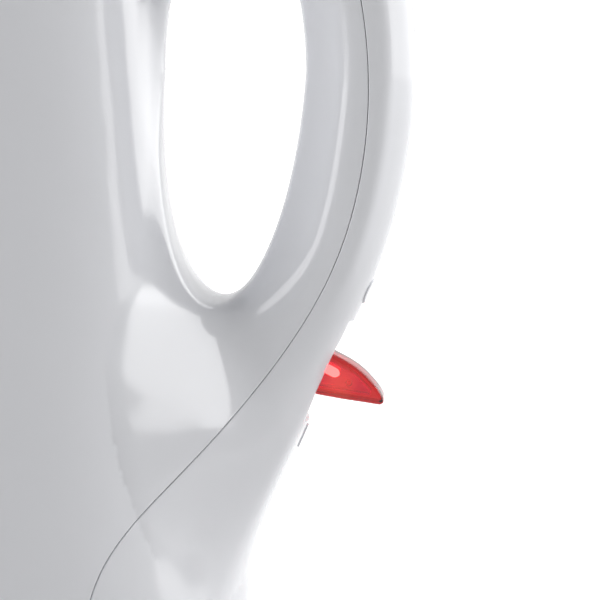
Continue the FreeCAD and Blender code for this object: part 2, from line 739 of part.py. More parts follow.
def make_connector_post():
    """Round post that turns with the jug."""
    low = flange_z()
    post = fuse(disc(POST_FLANGE_R, low, low + POST_FLANGE_T), disc(POST_NECK_R, low, BASE_TOP),
                disc(POST_R, low, BASE_TOP + POST_H))
    post = post.cut(disc(EARTH_PIN_R, low - 1, FAR))
    for z in ring_heights():
        post = post.cut(ring(POST_R - RING_T, POST_R + 1, z, z + RING_H))
    return post


def make_contact_rings():
    return Part.makeCompound([ring(POST_R - RING_T, POST_R, z, z + RING_H) for z in ring_heights()])


def make_earth_pin():
    return disc(EARTH_PIN_R, flange_z(), BASE_TOP + POST_H + EARTH_PIN_H)


def make_terminal_block():
    low, end = FEET_H + FLOOR_T, TERMINAL_X + TERMINAL_LENGTH
    block = box(TERMINAL_X, end, -TERMINAL_HALF, TERMINAL_HALF, low, low + TERMINAL_H)
    for y in strip_lines():
        block = block.cut(disc(SCREW_R, low + TERMINAL_H / 2, FAR, (TERMINAL_X + end) / 2, y))
    return block


def strip_lines():
    return [-STRIP_STEP, 0, STRIP_STEP]


def make_contact_strips():
    """Strips from the terminal block to the underside of the post."""
    high = flange_z() - CLEARANCE
    half = STRIP_W / 2
    return Part.makeCompound([box(EARTH_PIN_R, TERMINAL_X, y - half, y + half, high - STRIP_T, high)
                              for y in strip_lines()])


def lid_profile(inset):
    """Closed outline of the lid's dome, smaller by a wall."""
    r, low, high = RIM_R - inset, RIM_Z + LID_GAP, RIM_Z + LID_RISE - inset
    side = RIM_Z + LID_GAP + LID_SIDE - inset
    dome = [Vector(r, 0, side), Vector(r - LID_SIDE / 2, 0, high - LID_SIDE / 4),
            Vector((r + LID_FLAT_R) / 2, 0, high), Vector(LID_FLAT_R, 0, high)]
    return [Vector(0, 0, low), Vector(r, 0, low), dome, Vector(0, 0, high)]


def make_lid_shell():
    """Domed lid with the knuckle of its hinge."""
    shell = revolve(lid_profile(0)).cut(revolve(lid_profile(LID_WALL)))
    x, z = RIM_R + HINGE_BACK, RIM_Z + HINGE_RISE
    arm = box(RIM_R - LID_WALL, x, -KNUCKLE_HALF, KNUCKLE_HALF, RIM_Z + LID_GAP, z + KNUCKLE_R / 2)
    knuckle = hinge_bar(KNUCKLE_R, -KNUCKLE_HALF, KNUCKLE_HALF)
    return fuse(shell, arm, knuckle).cut(hinge_bar(HINGE_PIN_R + RUNNING, -FAR, FAR))


def make_lid_inner():
    """Plug under the lid that closes the mouth of the jug."""
    r = RIM_R - WALL - CHAMBER_SHIFT - PLUG_CLEAR
    low = RIM_Z - PLUG_DEPTH
    flange_low = RIM_Z + LID_GAP
    plug = disc(r, low, flange_low + LID_WALL / 2, -CHAMBER_SHIFT)
    flange = disc(RIM_R - LID_WALL - CLEARANCE, flange_low, flange_low + LID_WALL)
    return fuse(plug, flange).cut(disc(r - LID_WALL, low + LID_WALL, FAR, -CHAMBER_SHIFT))


def make_lid_grip():
    """Rounded bar to lift the lid by, on its flat middle."""
    low, reach = RIM_Z + LID_RISE, GRIP_LENGTH / 2 - GRIP_HALF
    ends = [disc(GRIP_HALF, low, low + GRIP_H, x) for x in (-reach, reach)]
    bar = fuse(box(-reach, reach, -GRIP_HALF, GRIP_HALF, low, low + GRIP_H), *ends)
    top = [edge for edge in bar.Edges if edge.BoundBox.ZMin > low + GRIP_H / 2]
    return bar.makeFillet(GRIP_H / 3, top)


def make_lid_hinge_pin():
    half = KNUCKLE_HALF + CLEARANCE + HINGE_EAR_T
    return hinge_bar(HINGE_PIN_R, -half, half)


def main():
    os.makedirs("parts", exist_ok=True)
    outer = loft(outer_section, heights())
    chamber = loft(chamber_section, heights(LEDGE_Z + LEDGE_T, RIM_Z + WALL))
    near_window, far_window = make_water_windows(outer.copy(), chamber.copy())
    nodes = {
        "jug_body": make_jug_body(outer.copy(), chamber.copy()),
        "handle_cover": make_handle_cover(outer.copy()),
        "water_window_near": near_window,
        "water_window_far": far_window,
        "switch_lever": make_switch_lever(),
        "neon_lamp": make_neon_lamp(),
        "switch_housing": make_switch_housing(),
        "lever_pin": make_lever_pin(),
        "detent_spring": make_detent_spring(),
        "steam_bimetal": make_steam_bimetal(),
        "filter_frame": make_filter_frame(),
        "filter_mesh": make_filter_mesh(),
        "heating_plate": make_heating_plate(),
        "plate_seal": make_plate_seal(),
        "heating_element": make_heating_element(),
        "control_unit": make_control_unit(),
        "control_bimetals": make_control_bimetals(),
        "connector_socket": make_connector_socket(),
        "socket_contacts": make_socket_contacts(),
        "bottom_cover": make_bottom_cover(),
        "bottom_screws": make_bottom_screws(),
        "lid_shell": make_lid_shell(),
        "lid_inner": make_lid_inner(),
        "lid_grip": make_lid_grip(),
        "lid_hinge_pin": make_lid_hinge_pin(),
        "connector_post": make_connector_post(),
        "contact_rings": make_contact_rings(),
        "earth_pin": make_earth_pin(),
        "base_shell": make_base_shell(),
        "base_bottom": make_base_bottom(),
        "base_feet": make_base_feet(),
        "base_screws": make_base_screws(),
        "contact_strips": make_contact_strips(),
        "terminal_block": make_terminal_block(),
        "cord_gland": make_cord_gland(),
    }
    for name, shape in nodes.items():
        shape.exportStep(f"parts/{name}.step")
        print(name, shape.isValid(), len(shape.Solids), round(shape.Volume, 1))


main()
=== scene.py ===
import itertools
import json
import math

import bmesh
import bpy
import numpy as np
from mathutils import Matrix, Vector


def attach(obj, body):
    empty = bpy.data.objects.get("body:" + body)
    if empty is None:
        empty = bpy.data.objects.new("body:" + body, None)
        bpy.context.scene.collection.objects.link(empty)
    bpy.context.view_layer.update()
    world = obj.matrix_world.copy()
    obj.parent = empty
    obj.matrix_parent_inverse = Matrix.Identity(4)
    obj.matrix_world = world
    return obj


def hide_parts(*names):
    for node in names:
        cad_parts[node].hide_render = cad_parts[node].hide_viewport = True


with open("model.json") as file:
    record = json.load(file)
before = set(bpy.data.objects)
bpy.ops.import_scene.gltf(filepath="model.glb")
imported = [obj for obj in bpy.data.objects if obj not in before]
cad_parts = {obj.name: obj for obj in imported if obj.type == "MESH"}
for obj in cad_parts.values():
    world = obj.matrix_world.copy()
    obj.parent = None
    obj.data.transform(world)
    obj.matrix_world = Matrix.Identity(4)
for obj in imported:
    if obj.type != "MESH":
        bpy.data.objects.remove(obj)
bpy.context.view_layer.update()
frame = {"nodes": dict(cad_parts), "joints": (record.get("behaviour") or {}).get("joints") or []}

# White electric jug kettle on its power base. Sizes are millimetres, as on the real kettle:
# +X is the handle's side, -X the spout's, +Z is up, and the origin is under the jug's axis.
MM = 0.001
FOOT_Z, RIM_Z = 18.0, 238.0
FOOT_R, RIM_R, TAPER = 75.0, 47.5, 2.1
WALL, CHAMBER_SHIFT = 2.5, 1.4
SPOUT_REACH, SPOUT_NOSE_R, SPOUT_HEIGHT, SPOUT_POWER = 23.0, 9.0, 72.0, 1.5

# Handle. Each line goes up the jug by shares of its height, from foot to rim. BACK_LINE is how far the back
# stands out and HALF_LINE how much the tail widens, both as shares. BLEND_LINE is the rounding into the jug
# in mm, WEB_TURN the slant of the flat web below the finger hole in degrees, and SEAM_LINE the seam's
# distance from the back in mm
HANDLE_REACH, HANDLE_HALF, TAIL_HALF, HANDLE_NOSE = 64.8, 13.0, 30.0, 18.0
BACK_LINE = [(0, -0.14), (0.11, 0.018), (0.17, 0.122), (0.25, 0.302), (0.33, 0.473), (0.45, 0.735),
             (0.6, 0.942), (0.74, 1.005), (0.87, 0.93), (0.945, 0.76), (1, 0.5)]
HALF_LINE = [(0, 1), (0.12, 0.65), (0.24, 0.26), (0.35, 0.06), (0.44, 0), (0.7, 0), (1, 0)]
BLEND_LINE = [(0, 16), (0.12, 15), (0.25, 7), (0.35, 6), (0.44, 5), (0.56, 3), (0.75, 3), (0.9, 4), (1, 14)]
WEB_TURN = [(0, 72), (0.08, 64), (0.175, 51), (0.235, 42), (0.285, 38.5), (0.345, 39.5), (0.4, 43.5),
            (0.44, 49), (0.5, 59), (0.58, 69), (0.68, 76), (1, 80)]
SEAM_LINE = [(0, 30), (0.13, 34), (0.2, 32.3), (0.25, 26.9), (0.33, 17.4), (0.42, 12.6), (0.56, 10.9),
             (0.79, 12.2), (0.9, 14), (1, 20)]
WEB_HALF, WEB_EDGE = 45.0, 4.5
# The limb beside the finger hole has slanted faces, which start at LIMB_LOW and are full LIMB_FADE above it
LIMB_LOW, LIMB_FADE, LIMB_LIP, LIMB_EDGE, LIMB_BACK = 104.0, 30.0, 3.0, 2.2, 7.0
LINE_PAST = 0.02

# Finger hole, and the size of its rounded edge beside the jug and beside the grip
HOLE_Z, HOLE_UP, HOLE_DOWN, HOLE_CLOSE, HOLE_LEAN = 171.5, 49.5, 57.0, 0.37, 0.068
HOLE_STAND, GRIP_DEPTH = 2.4, 27.5
HOLE_ROUND, GRIP_ROUND, HOLE_EDGE = 7.0, 11.0, 2.0

# Rounded edges of the mouldings
RIM_ROUND, TOP_ROUND, FOOT_ROUND, INNER_ROUND = 1.0, 4.0, 3.0, 0.6
TOP_START, TOP_REACH = 2.0, 14.0
SEAM_GAP, SEAM_ROUND = 0.12, 0.3
COVER_WALL, COVER_SEAT, COVER_FOOT_Z = 2.2, 2.6, 19.6
COVER_CORNER, COVER_CLEAR, COVER_RIM = 2.0, 1.2, 0.4

# Inside the jug
LEDGE_Z, LEDGE_T, LEDGE_R = 46.0, 2.5, 54.0
PORT_R, PORT_Z, PORT_START, PORT_END = 3.0, 228.0, 29.5, 60.0
WINDOW_X, WINDOW_HALF, WINDOW_LOW, WINDOW_HIGH = -12.0, 7.0, 80.0, 176.0
WINDOW_GAP = 0.15

# Lever, in its own frame: u out of the handle, v up along it, from its pivot. The flat around it runs out
# towards its lower end
LEVER_Z, LEVER_DEPTH, LEVER_HALF, LEVER_WALL = 95.8, 10.5, 4.2, 1.4
RECESS_UP, RECESS_DOWN, RECESS_EDGE = 14.5, 12.7, 0.5
RECESS_DEPTH, RECESS_LEAN, RUNOUT_DEPTH, RUNOUT_LEAN = 0.7, 0.035, 1.02, 0.1
DRUM_R, HUB_R, PIN_R = 8.0, 3.2, 1.3
SLOT_GAP, SLOT_RISE, SLOT_ROUND = 0.6, 2.7, 0.8
LEVER_TOP = [(-10.5, 5.2), (0, 5.2), (4.1, 5.1), (7.7, 4.5), (10.7, 3.5), (13.6, 2.2), (15.0, 1.3)]
LEVER_TIP = [(15.6, 0.5), (15.7, -0.2), (15.3, -0.8), (14.6, -1.1)]
LEVER_UNDER = [(11.3, -2.2), (6.1, -4.0), (0, -5.9), (-10.5, -5.9)]
LEVER_EDGE, LEVER_NECK, LEVER_CUT, LEVER_BACK = 1.1, 0.6, 0.4, 0.3
CORE_RIM, CORE_EDGE, CORE_END = 1.9, 0.5, 11.7
PIP_U, PIP_V, PIP_R = 16.2, 0.4, 0.75

# Spacing of the points on the smooth pieces
STEP = 1.25
LEVER_STEP, HINGE_STEP, KNOB_STEP, BASE_STEP = 0.33, 0.45, 0.6, 1.2


# Curves and fields

def spline(points, at):
    """Smooth curve through a few points."""
    s, v = np.array(points, float).T
    h = np.diff(s)
    count = len(s)
    matrix, right = np.eye(count), np.zeros(count)
    for i in range(1, count - 1):
        matrix[i, i - 1:i + 2] = h[i - 1], 2 * (h[i - 1] + h[i]), h[i]
        right[i] = 6 * ((v[i + 1] - v[i]) / h[i] - (v[i] - v[i - 1]) / h[i - 1])
    bend = np.linalg.solve(matrix, right)
    at = np.asarray(at, float)
    i = np.clip(np.searchsorted(s, at) - 1, 0, count - 2)
    below, above = at - s[i], s[i + 1] - at
    curved = (bend[i] * above ** 3 + bend[i + 1] * below ** 3) / (6 * h[i])
    return (curved + (v[i] / h[i] - bend[i] * h[i] / 6) * above
            + (v[i + 1] / h[i] - bend[i + 1] * h[i] / 6) * below)


def lesser(a, b, soft):
    """The smaller of two distances, with the corner between them rounded."""
    near = np.maximum(1.5 * soft - np.abs(a - b), 0) / (1.5 * soft)
    return np.minimum(a, b) - near ** 3 * soft / 4


def greater(a, b, soft):
    return -lesser(-a, -b, soft)


def eased(t):
    t = np.clip(t, 0, 1)
    return t * t * (3 - 2 * t)


def share(z):
    return np.clip((z - FOOT_Z) / (RIM_Z - FOOT_Z), -LINE_PAST, 1 + LINE_PAST)


def jug_radius(z):
    return RIM_R + (FOOT_R - RIM_R) * np.maximum(1 - share(z), 0) ** TAPER


def handle_back(z):
    return jug_radius(z) + HANDLE_REACH * spline(BACK_LINE, share(z))


def seam_x(z):
    return handle_back(z) - spline(SEAM_LINE, share(z))


def jug_plan(x, y, z, inset=0.0, shift=0.0):
    """Distance to the round jug with its spout, in plan."""
    r, nose = jug_radius(z) - inset, SPOUT_NOSE_R - inset
    up = np.maximum((z - RIM_Z + SPOUT_HEIGHT) / SPOUT_HEIGHT, 0)
    ahead = r + SPOUT_REACH * up ** SPOUT_POWER - nose
    lean = (r - nose) / ahead
    across = np.sqrt(np.maximum(1 - lean * lean, 0))
    p, q = np.abs(y), -x - shift
    k = across * q - lean * p
    flank = np.where(k > across * ahead, np.hypot(p, q - ahead) - nose, across * p + lean * q - r)
    return np.where(k <= 0, np.hypot(p, q) - r, flank)


HOLE_FRONT = float(jug_radius(HOLE_Z)) + HOLE_STAND
HOLE_BACK = float(handle_back(HOLE_Z)) - GRIP_DEPTH


def hole(x, z):
    """Distance to the egg-shaped finger hole, below zero inside it."""
    w = z - HOLE_Z
    u = x - (HOLE_FRONT + HOLE_BACK) / 2 - HOLE_LEAN * np.minimum(w, 0)
    a = (HOLE_BACK - HOLE_FRONT) / 2
    b, close = np.where(w > 0, HOLE_UP, HOLE_DOWN), np.where(w > 0, HOLE_CLOSE, 0)
    t = w / b
    ratio = np.sqrt((u / a) ** 2 + (1 + close) * t ** 2 - close * t ** 4)
    steep = np.hypot(u / a ** 2, ((1 + close) * t - 2 * close * t ** 3) / b)
    return ratio * (ratio - 1) / np.maximum(steep, 1e-6)


PIVOT = np.array(next(j for j in frame["joints"] if j["name"] == "switch_rock")["pos_m"]) / MM
LEVER_LEAN = math.asin((PIVOT[2] - LEVER_Z) / LEVER_DEPTH)
OUT = np.array([math.cos(LEVER_LEAN), 0, -math.sin(LEVER_LEAN)])
UP = np.array([math.sin(LEVER_LEAN), 0, math.cos(LEVER_LEAN)])


def lever_uv(x, z):
    dx, dz = x - PIVOT[0], z - PIVOT[2]
    return dx * OUT[0] + dz * OUT[2], dx * UP[0] + dz * UP[2]


def slanted(side, fall, along, length):
    """Distance to a slanted face that takes a side in by a fall over a length."""
    return (side + fall * along) / np.hypot(1, fall / length)


def skin(x, y, z, flat=True):
    """Distance to the outside of the jug and its handle, with or without the flat behind the lever."""
    jug = jug_plan(x, y, z)
    half = HANDLE_HALF + (TAIL_HALF - HANDLE_HALF) * spline(HALF_LINE, share(z))
    edge = HOLE_ROUND + (GRIP_ROUND - HOLE_ROUND) * eased((x - HOLE_FRONT) / (HOLE_BACK - HOLE_FRONT))
    to_hole = hole(x, z)
    inner, nose = 1 - to_hole / edge, (x - handle_back(z)) / HANDLE_NOSE + 1
    hollow, across = np.maximum(inner, 0) ** 2 + np.maximum(nose, 0) ** 2, np.abs(y)
    # Oval handle, with slanted faces on its limb beside the finger hole and at the back
    oval = half * (np.sqrt(hollow + (y / half) ** 2) - 1)
    limb = greater(across - half, slanted(across - half, half - LIMB_LIP, inner, edge), LIMB_EDGE)
    behind = slanted(across - half, half - LIMB_LIP, (x - handle_back(z)) / LIMB_BACK + 1, LIMB_BACK)
    limb = greater(greater(limb, behind, LIMB_EDGE), x - handle_back(z), LIMB_LIP)
    handle = oval + eased((z - LIMB_LOW) / LIMB_FADE) * (limb - oval)
    # Flat web that leaves the jug without a crease and runs out to the handle
    turn = np.radians(spline(WEB_TURN, share(z)))
    web = np.cos(turn) * across + np.sin(turn) * x - jug_radius(z)
    within = WEB_HALF * (np.sqrt(hollow + (y / WEB_HALF) ** 2) - 1)
    web = np.maximum(greater(web, within, WEB_EDGE), np.sin(turn) * across - np.cos(turn) * x)
    both = np.where(x < 0, jug, lesser(np.minimum(jug, web), handle, spline(BLEND_LINE, share(z))))
    both = greater(both, -to_hole, HOLE_EDGE)
    if flat:
        u, v = lever_uv(x, z)
        floor = LEVER_DEPTH - np.minimum(RECESS_DEPTH + RECESS_LEAN * v, RUNOUT_DEPTH + RUNOUT_LEAN * v)
        recess = np.maximum(floor - u, np.maximum(v - RECESS_UP, -RECESS_DOWN - v))
        both = greater(both, -recess, RECESS_EDGE)
    top = RIM_ROUND + (TOP_ROUND - RIM_ROUND) * eased((x - RIM_R - TOP_START) / TOP_REACH)
    return greater(greater(both, z - RIM_Z, top), FOOT_Z - z, FOOT_ROUND)


def cavity(x, y, z):
    """Distance to the water chamber, the steam port and the space under the ledge."""
    plan = jug_plan(x, y, z, WALL + CHAMBER_SHIFT, CHAMBER_SHIFT)
    water = np.maximum(plan, LEDGE_Z + LEDGE_T - z)
    skirt = np.maximum(plan, z - LEDGE_Z)
    opening = np.maximum(np.hypot(x + CHAMBER_SHIFT, y) - LEDGE_R, np.abs(z - LEDGE_Z) - 2 * LEDGE_T)
    port = np.maximum(np.hypot(y, z - PORT_Z) - PORT_R, np.maximum(PORT_START - x, x - PORT_END))
    return np.minimum(np.minimum(water, skirt), np.minimum(opening, port))


def jug_solid(x, y, z):
    return greater(skin(x, y, z), -cavity(x, y, z), INNER_ROUND)


# Meshes on fields

def unit(vectors):
    return vectors / np.maximum(np.linalg.norm(vectors, axis=1, keepdims=True), 1e-12)


def slope(field, points, reach=0.02):
    """How a field grows along each axis."""
    grown = np.empty_like(points)
    for axis in range(3):
        step = np.zeros(3)
        step[axis] = reach
        grown[:, axis] = (field(*(points + step).T) - field(*(points - step).T)) / (2 * reach)
    return grown


def pull(field, points, times=3, furthest=1.0, flattest=0.05):
    """Moves points onto the surface where a field is zero."""
    for _ in range(times):
        g = slope(field, points)
        move = field(*points.T) / np.maximum((g * g).sum(1), flattest)
        points = points - np.clip(move, -furthest, furthest)[:, None] * g
    return points


def net(field, low, high, step, evening=0.6):
    """Closed mesh of even quads on the surface where a field is zero, in the room between two corners."""
    axes = []
    for a, b in zip(low, high):
        count = 2 * math.ceil((b - a) / step / 2)
        axes.append((a + b) / 2 + (np.arange(count) - (count - 1) / 2) * step)
    value = field(*np.meshgrid(*axes, indexing="ij", sparse=True))
    inside = value < 0
    cells = [n - 1 for n in value.shape]
    corners = [np.array(c) for c in itertools.product((0, 1), repeat=3)]
    filled = sum(inside[tuple(slice(c, c + n) for c, n in zip(corner, cells))].astype(int)
                 for corner in corners)
    mixed = np.argwhere((filled > 0) & (filled < 8))
    number = np.full(cells, -1)
    number[tuple(mixed.T)] = np.arange(len(mixed))
    total, hits = np.zeros((len(mixed), 3)), np.zeros(len(mixed))
    for corner, axis in itertools.product(corners, range(3)):
        if corner[axis]:
            continue
        along = np.eye(3, dtype=int)[axis]
        a, b = value[tuple((mixed + corner).T)], value[tuple((mixed + corner + along).T)]
        crossed = (a < 0) != (b < 0)
        t = np.where(crossed, a / np.where(crossed, a - b, 1), 0)
        total += crossed[:, None] * (mixed + corner + t[:, None] * along)
        hits += crossed
    points = np.array([axis[0] for axis in axes]) + step * total / hits[:, None]
    faces = []
    for axis in range(3):
        j, k = (axis + 1) % 3, (axis + 2) % 3
        crossed = np.argwhere(np.diff(inside.astype(np.int8), axis=axis))
        quad = []
        for dj, dk in ((-1, -1), (0, -1), (0, 0), (-1, 0)):
            cell = crossed.copy()
            cell[:, j] += dj
            cell[:, k] += dk
            quad.append(number[tuple(cell.T)])
        quad = np.array(quad).T
        back = ~inside[tuple(crossed.T)]
        quad[back] = quad[back][:, ::-1]
        faces.append(quad)
    faces = np.concatenate(faces)
    ends = np.concatenate([faces[:, [i, (i + 1) % 4]] for i in range(4)])
    count = np.bincount(ends[:, 0], minlength=len(points))[:, None]
    points = pull(field, points)
    for _ in range(3):
        mean = np.stack([np.bincount(ends[:, 0], points[ends[:, 1], a], len(points)) for a in range(3)], 1)
        points = pull(field, points + evening * (mean / count - points), 2)
    return points, [tuple(f) for f in faces.tolist()]


def corner_lists(faces):
    """Every corner of every face, the corner after it, and where each face starts and how many it has."""
    counts = np.array([len(f) for f in faces])
    starts = np.concatenate([[0], np.cumsum(counts)[:-1]])
    corners = np.fromiter(itertools.chain.from_iterable(faces), int)
    after = np.roll(corners, -1)
    after[starts + counts - 1] = corners[starts]
    return corners, after, starts, counts


def refine(field, points, faces, chosen):
    """Splits the quads whose middle is chosen into four."""
    corners, _, starts, counts = corner_lists(faces)
    middles = np.add.reduceat(points[corners], starts) / counts[:, None]
    picked = chosen(middles) & (counts == 4)
    made, new = {}, []

    def middle(a, b):
        key = (min(a, b), max(a, b))
        if key not in made:
            made[key] = len(points) + len(new)
            new.append((points[a] + points[b]) / 2)
        return made[key]

    result = []
    for f, take in zip(faces, picked):
        if take:
            m = [middle(a, b) for a, b in zip(f, f[1:] + f[:1])]
            centre = len(points) + len(new)
            new.append(points[list(f)].mean(0))
            result += [(f[i], m[i], centre, m[i - 1]) for i in range(4)]
    for f, take in zip(faces, picked):
        if not take:
            outline = []
            for a, b in zip(f, f[1:] + f[:1]):
                outline.append(a)
                if (min(a, b), max(a, b)) in made:
                    outline.append(made[(min(a, b), max(a, b))])
            result.append(tuple(outline))
    return np.concatenate([points, pull(field, np.array(new))]), result


def settle(field, level, points, times=5, furthest=0.6, flattest=0.02):
    """Moves points along the surface onto the line where a level is zero."""
    for _ in range(times):
        n = unit(slope(field, points))
        g = slope(lambda *p: level(np.stack(p, 1)), points)
        g = g - (g * n).sum(1, keepdims=True) * n
        move = level(points) / np.maximum((g * g).sum(1), flattest)
        points = pull(field, points - np.clip(move, -furthest, furthest)[:, None] * g, 1)
    return pull(field, points, 1)


def split(field, points, faces, level, snap=0.3):
    """Cuts a surface along the line where a level is zero: points, faces below, faces above."""
    value = level(points)
    a, b, starts, _ = corner_lists(faces)
    length = np.linalg.norm(points[a] - points[b], axis=1)
    nearest = np.full(len(points), np.inf)
    np.minimum.at(nearest, a, length)
    np.minimum.at(nearest, b, length)
    close = np.abs(value) < snap * nearest
    points = points.copy()
    points[close] = settle(field, level, points[close])
    side = np.where(close, 0, np.sign(value)).astype(int)
    lowest, highest = np.minimum.reduceat(side[a], starts), np.maximum.reduceat(side[a], starts)
    above = [faces[i] for i in np.flatnonzero(lowest >= 0)]
    below = [faces[i] for i in np.flatnonzero((highest <= 0) & (lowest < 0))]
    waiting = [faces[i] for i in np.flatnonzero((lowest < 0) & (highest > 0))]
    made, new = {}, []

    def cut(a, b):
        key = (min(a, b), max(a, b))
        if key not in made:
            made[key] = len(points) + len(new)
            t = value[a] / (value[a] - value[b])
            new.append(points[a] + t * (points[b] - points[a]))
        return made[key]

    while waiting:
        f = waiting.pop()
        signs = [side[i] for i in f]
        if min(signs) >= 0:
            above.append(f)
        elif max(signs) <= 0:
            below.append(f)
        elif len(f) > 3 and sum(s * t < 0 for s, t in zip(signs, signs[1:] + signs[:1])) > 2:
            waiting += [(f[0], f[i], f[i + 1]) for i in range(1, len(f) - 1)]
        else:
            low, high = [], []
            for a, b in zip(f, f[1:] + f[:1]):
                if side[a] <= 0:
                    low.append(a)
                if side[a] >= 0:
                    high.append(a)
                if side[a] * side[b] < 0:
                    low.append(cut(a, b))
                    high.append(cut(a, b))
            below.append(tuple(low))
            above.append(tuple(high))
    if new:
        points = np.concatenate([points, settle(field, level, np.array(new))])
    return points, below, above


def open_edges(faces):
    a, b, _, _ = corner_lists(faces)
    many = max(a.max(), b.max()) + 1
    alone = ~np.isin(a * many + b, b * many + a)
    return list(zip(a[alone].tolist(), b[alone].tolist()))


def turn_in(points, normals, edges, r, depth, rows=4):
    """Rounds open edges over and carries them inwards: all points, normals, new faces, last points."""
    verge = sorted({i for edge in edges for i in edge})
    spot = {i: k for k, i in enumerate(verge)}
    a, b = np.array(edges).T
    sideways = np.cross(points[b] - points[a], normals[a] + normals[b])
    out = np.zeros((len(verge), 3))
    for ends in (a, b):
        np.add.at(out, [spot[i] for i in ends], unit(sideways))
    n = normals[verge]
    out = unit(out - (out * n).sum(1, keepdims=True) * n)
    rings = [verge]
    for row in range(1, rows + 2):
        turn = math.pi / 2 * min(row / rows, 1)
        way = n * math.cos(turn) + out * math.sin(turn)
        place = points[verge] - r * n + r * way
        if row > rows:
            place = points[verge] + r * out - depth * n
        rings.append(range(len(points), len(points) + len(verge)))
        points, normals = np.concatenate([points, place]), np.concatenate([normals, way])
    faces = []
    for ring, after in zip(rings, rings[1:]):
        faces += [(ring[spot[q]], ring[spot[p]], after[spot[p]], after[spot[q]]) for p, q in edges]
    return points, normals, faces, dict(zip(verge, rings[-1]))


def backed(points, normals, faces, last, depth, way=None, turned=False):
    """The same faces at a depth under the surface, joined to the last points of its edges."""
    inner = sorted({i for f in faces for i in f} - set(last))
    number = dict(last)
    number.update({i: len(points) + k for k, i in enumerate(inner)})
    way = normals[inner] if way is None else way[inner]
    turn = -1 if turned else 1
    points = np.concatenate([points, points[inner] - depth * way])
    normals = np.concatenate([normals, turn * way])
    return points, normals, [tuple(number[i] for i in f[::turn]) for f in faces]


def shell(points, normals, faces, r, depth, way=None):
    """Closed shell from a surface, with rounded edges and an even back along its normals or another way."""
    points, normals, rims, last = turn_in(points, normals, open_edges(faces), r, depth)
    points, normals, back = backed(points, normals, faces, last, depth, way, True)
    return points, normals, faces + rims + back


def zipped(points, first, second, centre):
    """Faces between two outlines that run round the same centre in the XZ plane."""
    tall = np.ptp(points[first], axis=0)[[0, 2]]

    def turns(loop):
        at = (points[loop][:, [0, 2]] - centre) / tall
        angle = np.arctan2(at[:, 1], at[:, 0])
        order = np.argsort(angle)
        return [loop[i] for i in order], list(angle[order])

    (p, s), (q, t) = turns(first), turns(second)
    i = k = 0
    faces = []
    while i < len(p) or k < len(q):
        next_s = s[i + 1] if i + 1 < len(p) else s[0] + 2 * math.pi
        next_t = t[k + 1] if k + 1 < len(q) else t[0] + 2 * math.pi
        if k == len(q) or (i < len(p) and next_s <= next_t):
            faces.append((p[i], p[(i + 1) % len(p)], q[k % len(q)]))
            i += 1
        else:
            faces.append((p[i % len(p)], q[(k + 1) % len(q)], q[k]))
            k += 1
    return faces


def make_piece(name, body, slot, material, points, normals, faces, replaced=()):
    """Object from points in millimetres, riding on a body of the kettle."""
    used = sorted({i for f in faces for i in f})
    number = {i: k for k, i in enumerate(used)}
    mesh = bpy.data.meshes.new(name)
    mesh.from_pydata((points[used] * MM).tolist(), [], [[number[i] for i in f] for f in faces])
    work = bmesh.new()
    work.from_mesh(mesh)
    bmesh.ops.recalc_face_normals(work, faces=work.faces)
    work.to_mesh(mesh)
    work.free()
    mesh.polygons.foreach_set("use_smooth", [True] * len(mesh.polygons))
    mesh.normals_split_custom_set_from_vertices(unit(normals[used]).tolist())
    mesh.materials.append(material)
    piece = bpy.data.objects.new(name, mesh)
    bpy.context.scene.collection.objects.link(piece)
    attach(piece, body)
    if replaced:
        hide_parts(*replaced)


# Jug with its handle, handle cover, windows and switch marks

POCKET_HALF, POCKET_LOW, POCKET_HIGH, POCKET_X = 9.5, 86.0, 112.5, 58.5
OFF_MARK_V, ON_MARK_V, MARK_HALF, MARK_WIDTH = 22.8, -17.3, 3.1, 1.1
MARK_RISE, MARK_ROUND = 0.45, 0.2
SWITCH_U, SWITCH_HALF, SWITCH_PAST = 4.0, 9.0, 5.0
DEEP = 1.0
JUG_ROOM = (-82, -78, 15), (122, 78, 241)


def columns(points):
    return points[:, 0], points[:, 1], points[:, 2]


def cover_zone(points):
    """Distance into the part of the outside that the handle cover takes up."""
    x, y, z = columns(points)
    lean = seam_x(z + 0.5) - seam_x(z - 0.5)
    behind = (x - seam_x(z)) / np.hypot(1, lean)
    return lesser(lesser(behind, z - COVER_FOOT_Z, COVER_CORNER), cavity(x, y, z) - COVER_CLEAR, COVER_RIM)


def window_zone(points):
    """Distance to the outline of the water windows."""
    x, _, z = columns(points)
    return np.hypot(x - WINDOW_X, z - np.clip(z, WINDOW_LOW, WINDOW_HIGH)) - WINDOW_HALF


def slot_zone(points):
    """Distance to the slot that the lever comes out of."""
    x, y, z = columns(points)
    u, v = lever_uv(x, z)
    side = np.abs(y) - LEVER_HALF - SLOT_GAP
    ends = np.maximum(v - LEVER_TOP[1][1] - SLOT_RISE - SLOT_GAP, LEVER_UNDER[2][1] - SLOT_GAP - v)
    return np.maximum(greater(side, ends, SLOT_ROUND), HUB_R - u)


def off_mark_zone(points):
    x, y, z = columns(points)
    u, v = lever_uv(x, z)
    ring = np.abs(np.hypot(y, v - OFF_MARK_V) - MARK_HALF + MARK_WIDTH / 2) - MARK_WIDTH / 2
    return np.maximum(ring, -u)


def on_mark_zone(points):
    x, y, z = columns(points)
    u, v = lever_uv(x, z)
    bar = np.hypot(y, np.maximum(np.abs(v - ON_MARK_V) - MARK_HALF + MARK_WIDTH / 2, 0)) - MARK_WIDTH / 2
    return np.maximum(bar, -u)


def near_switch(points):
    u, v = lever_uv(points[:, 0], points[:, 2])
    return ((u > SWITCH_U) & (np.abs(points[:, 1]) < SWITCH_HALF)
            & (v > ON_MARK_V - SWITCH_PAST) & (v < OFF_MARK_V + SWITCH_PAST))


def plain_skin(x, y, z):
    return skin(x, y, z, False)


def facing(points, field=jug_solid):
    return unit(slope(field, points))


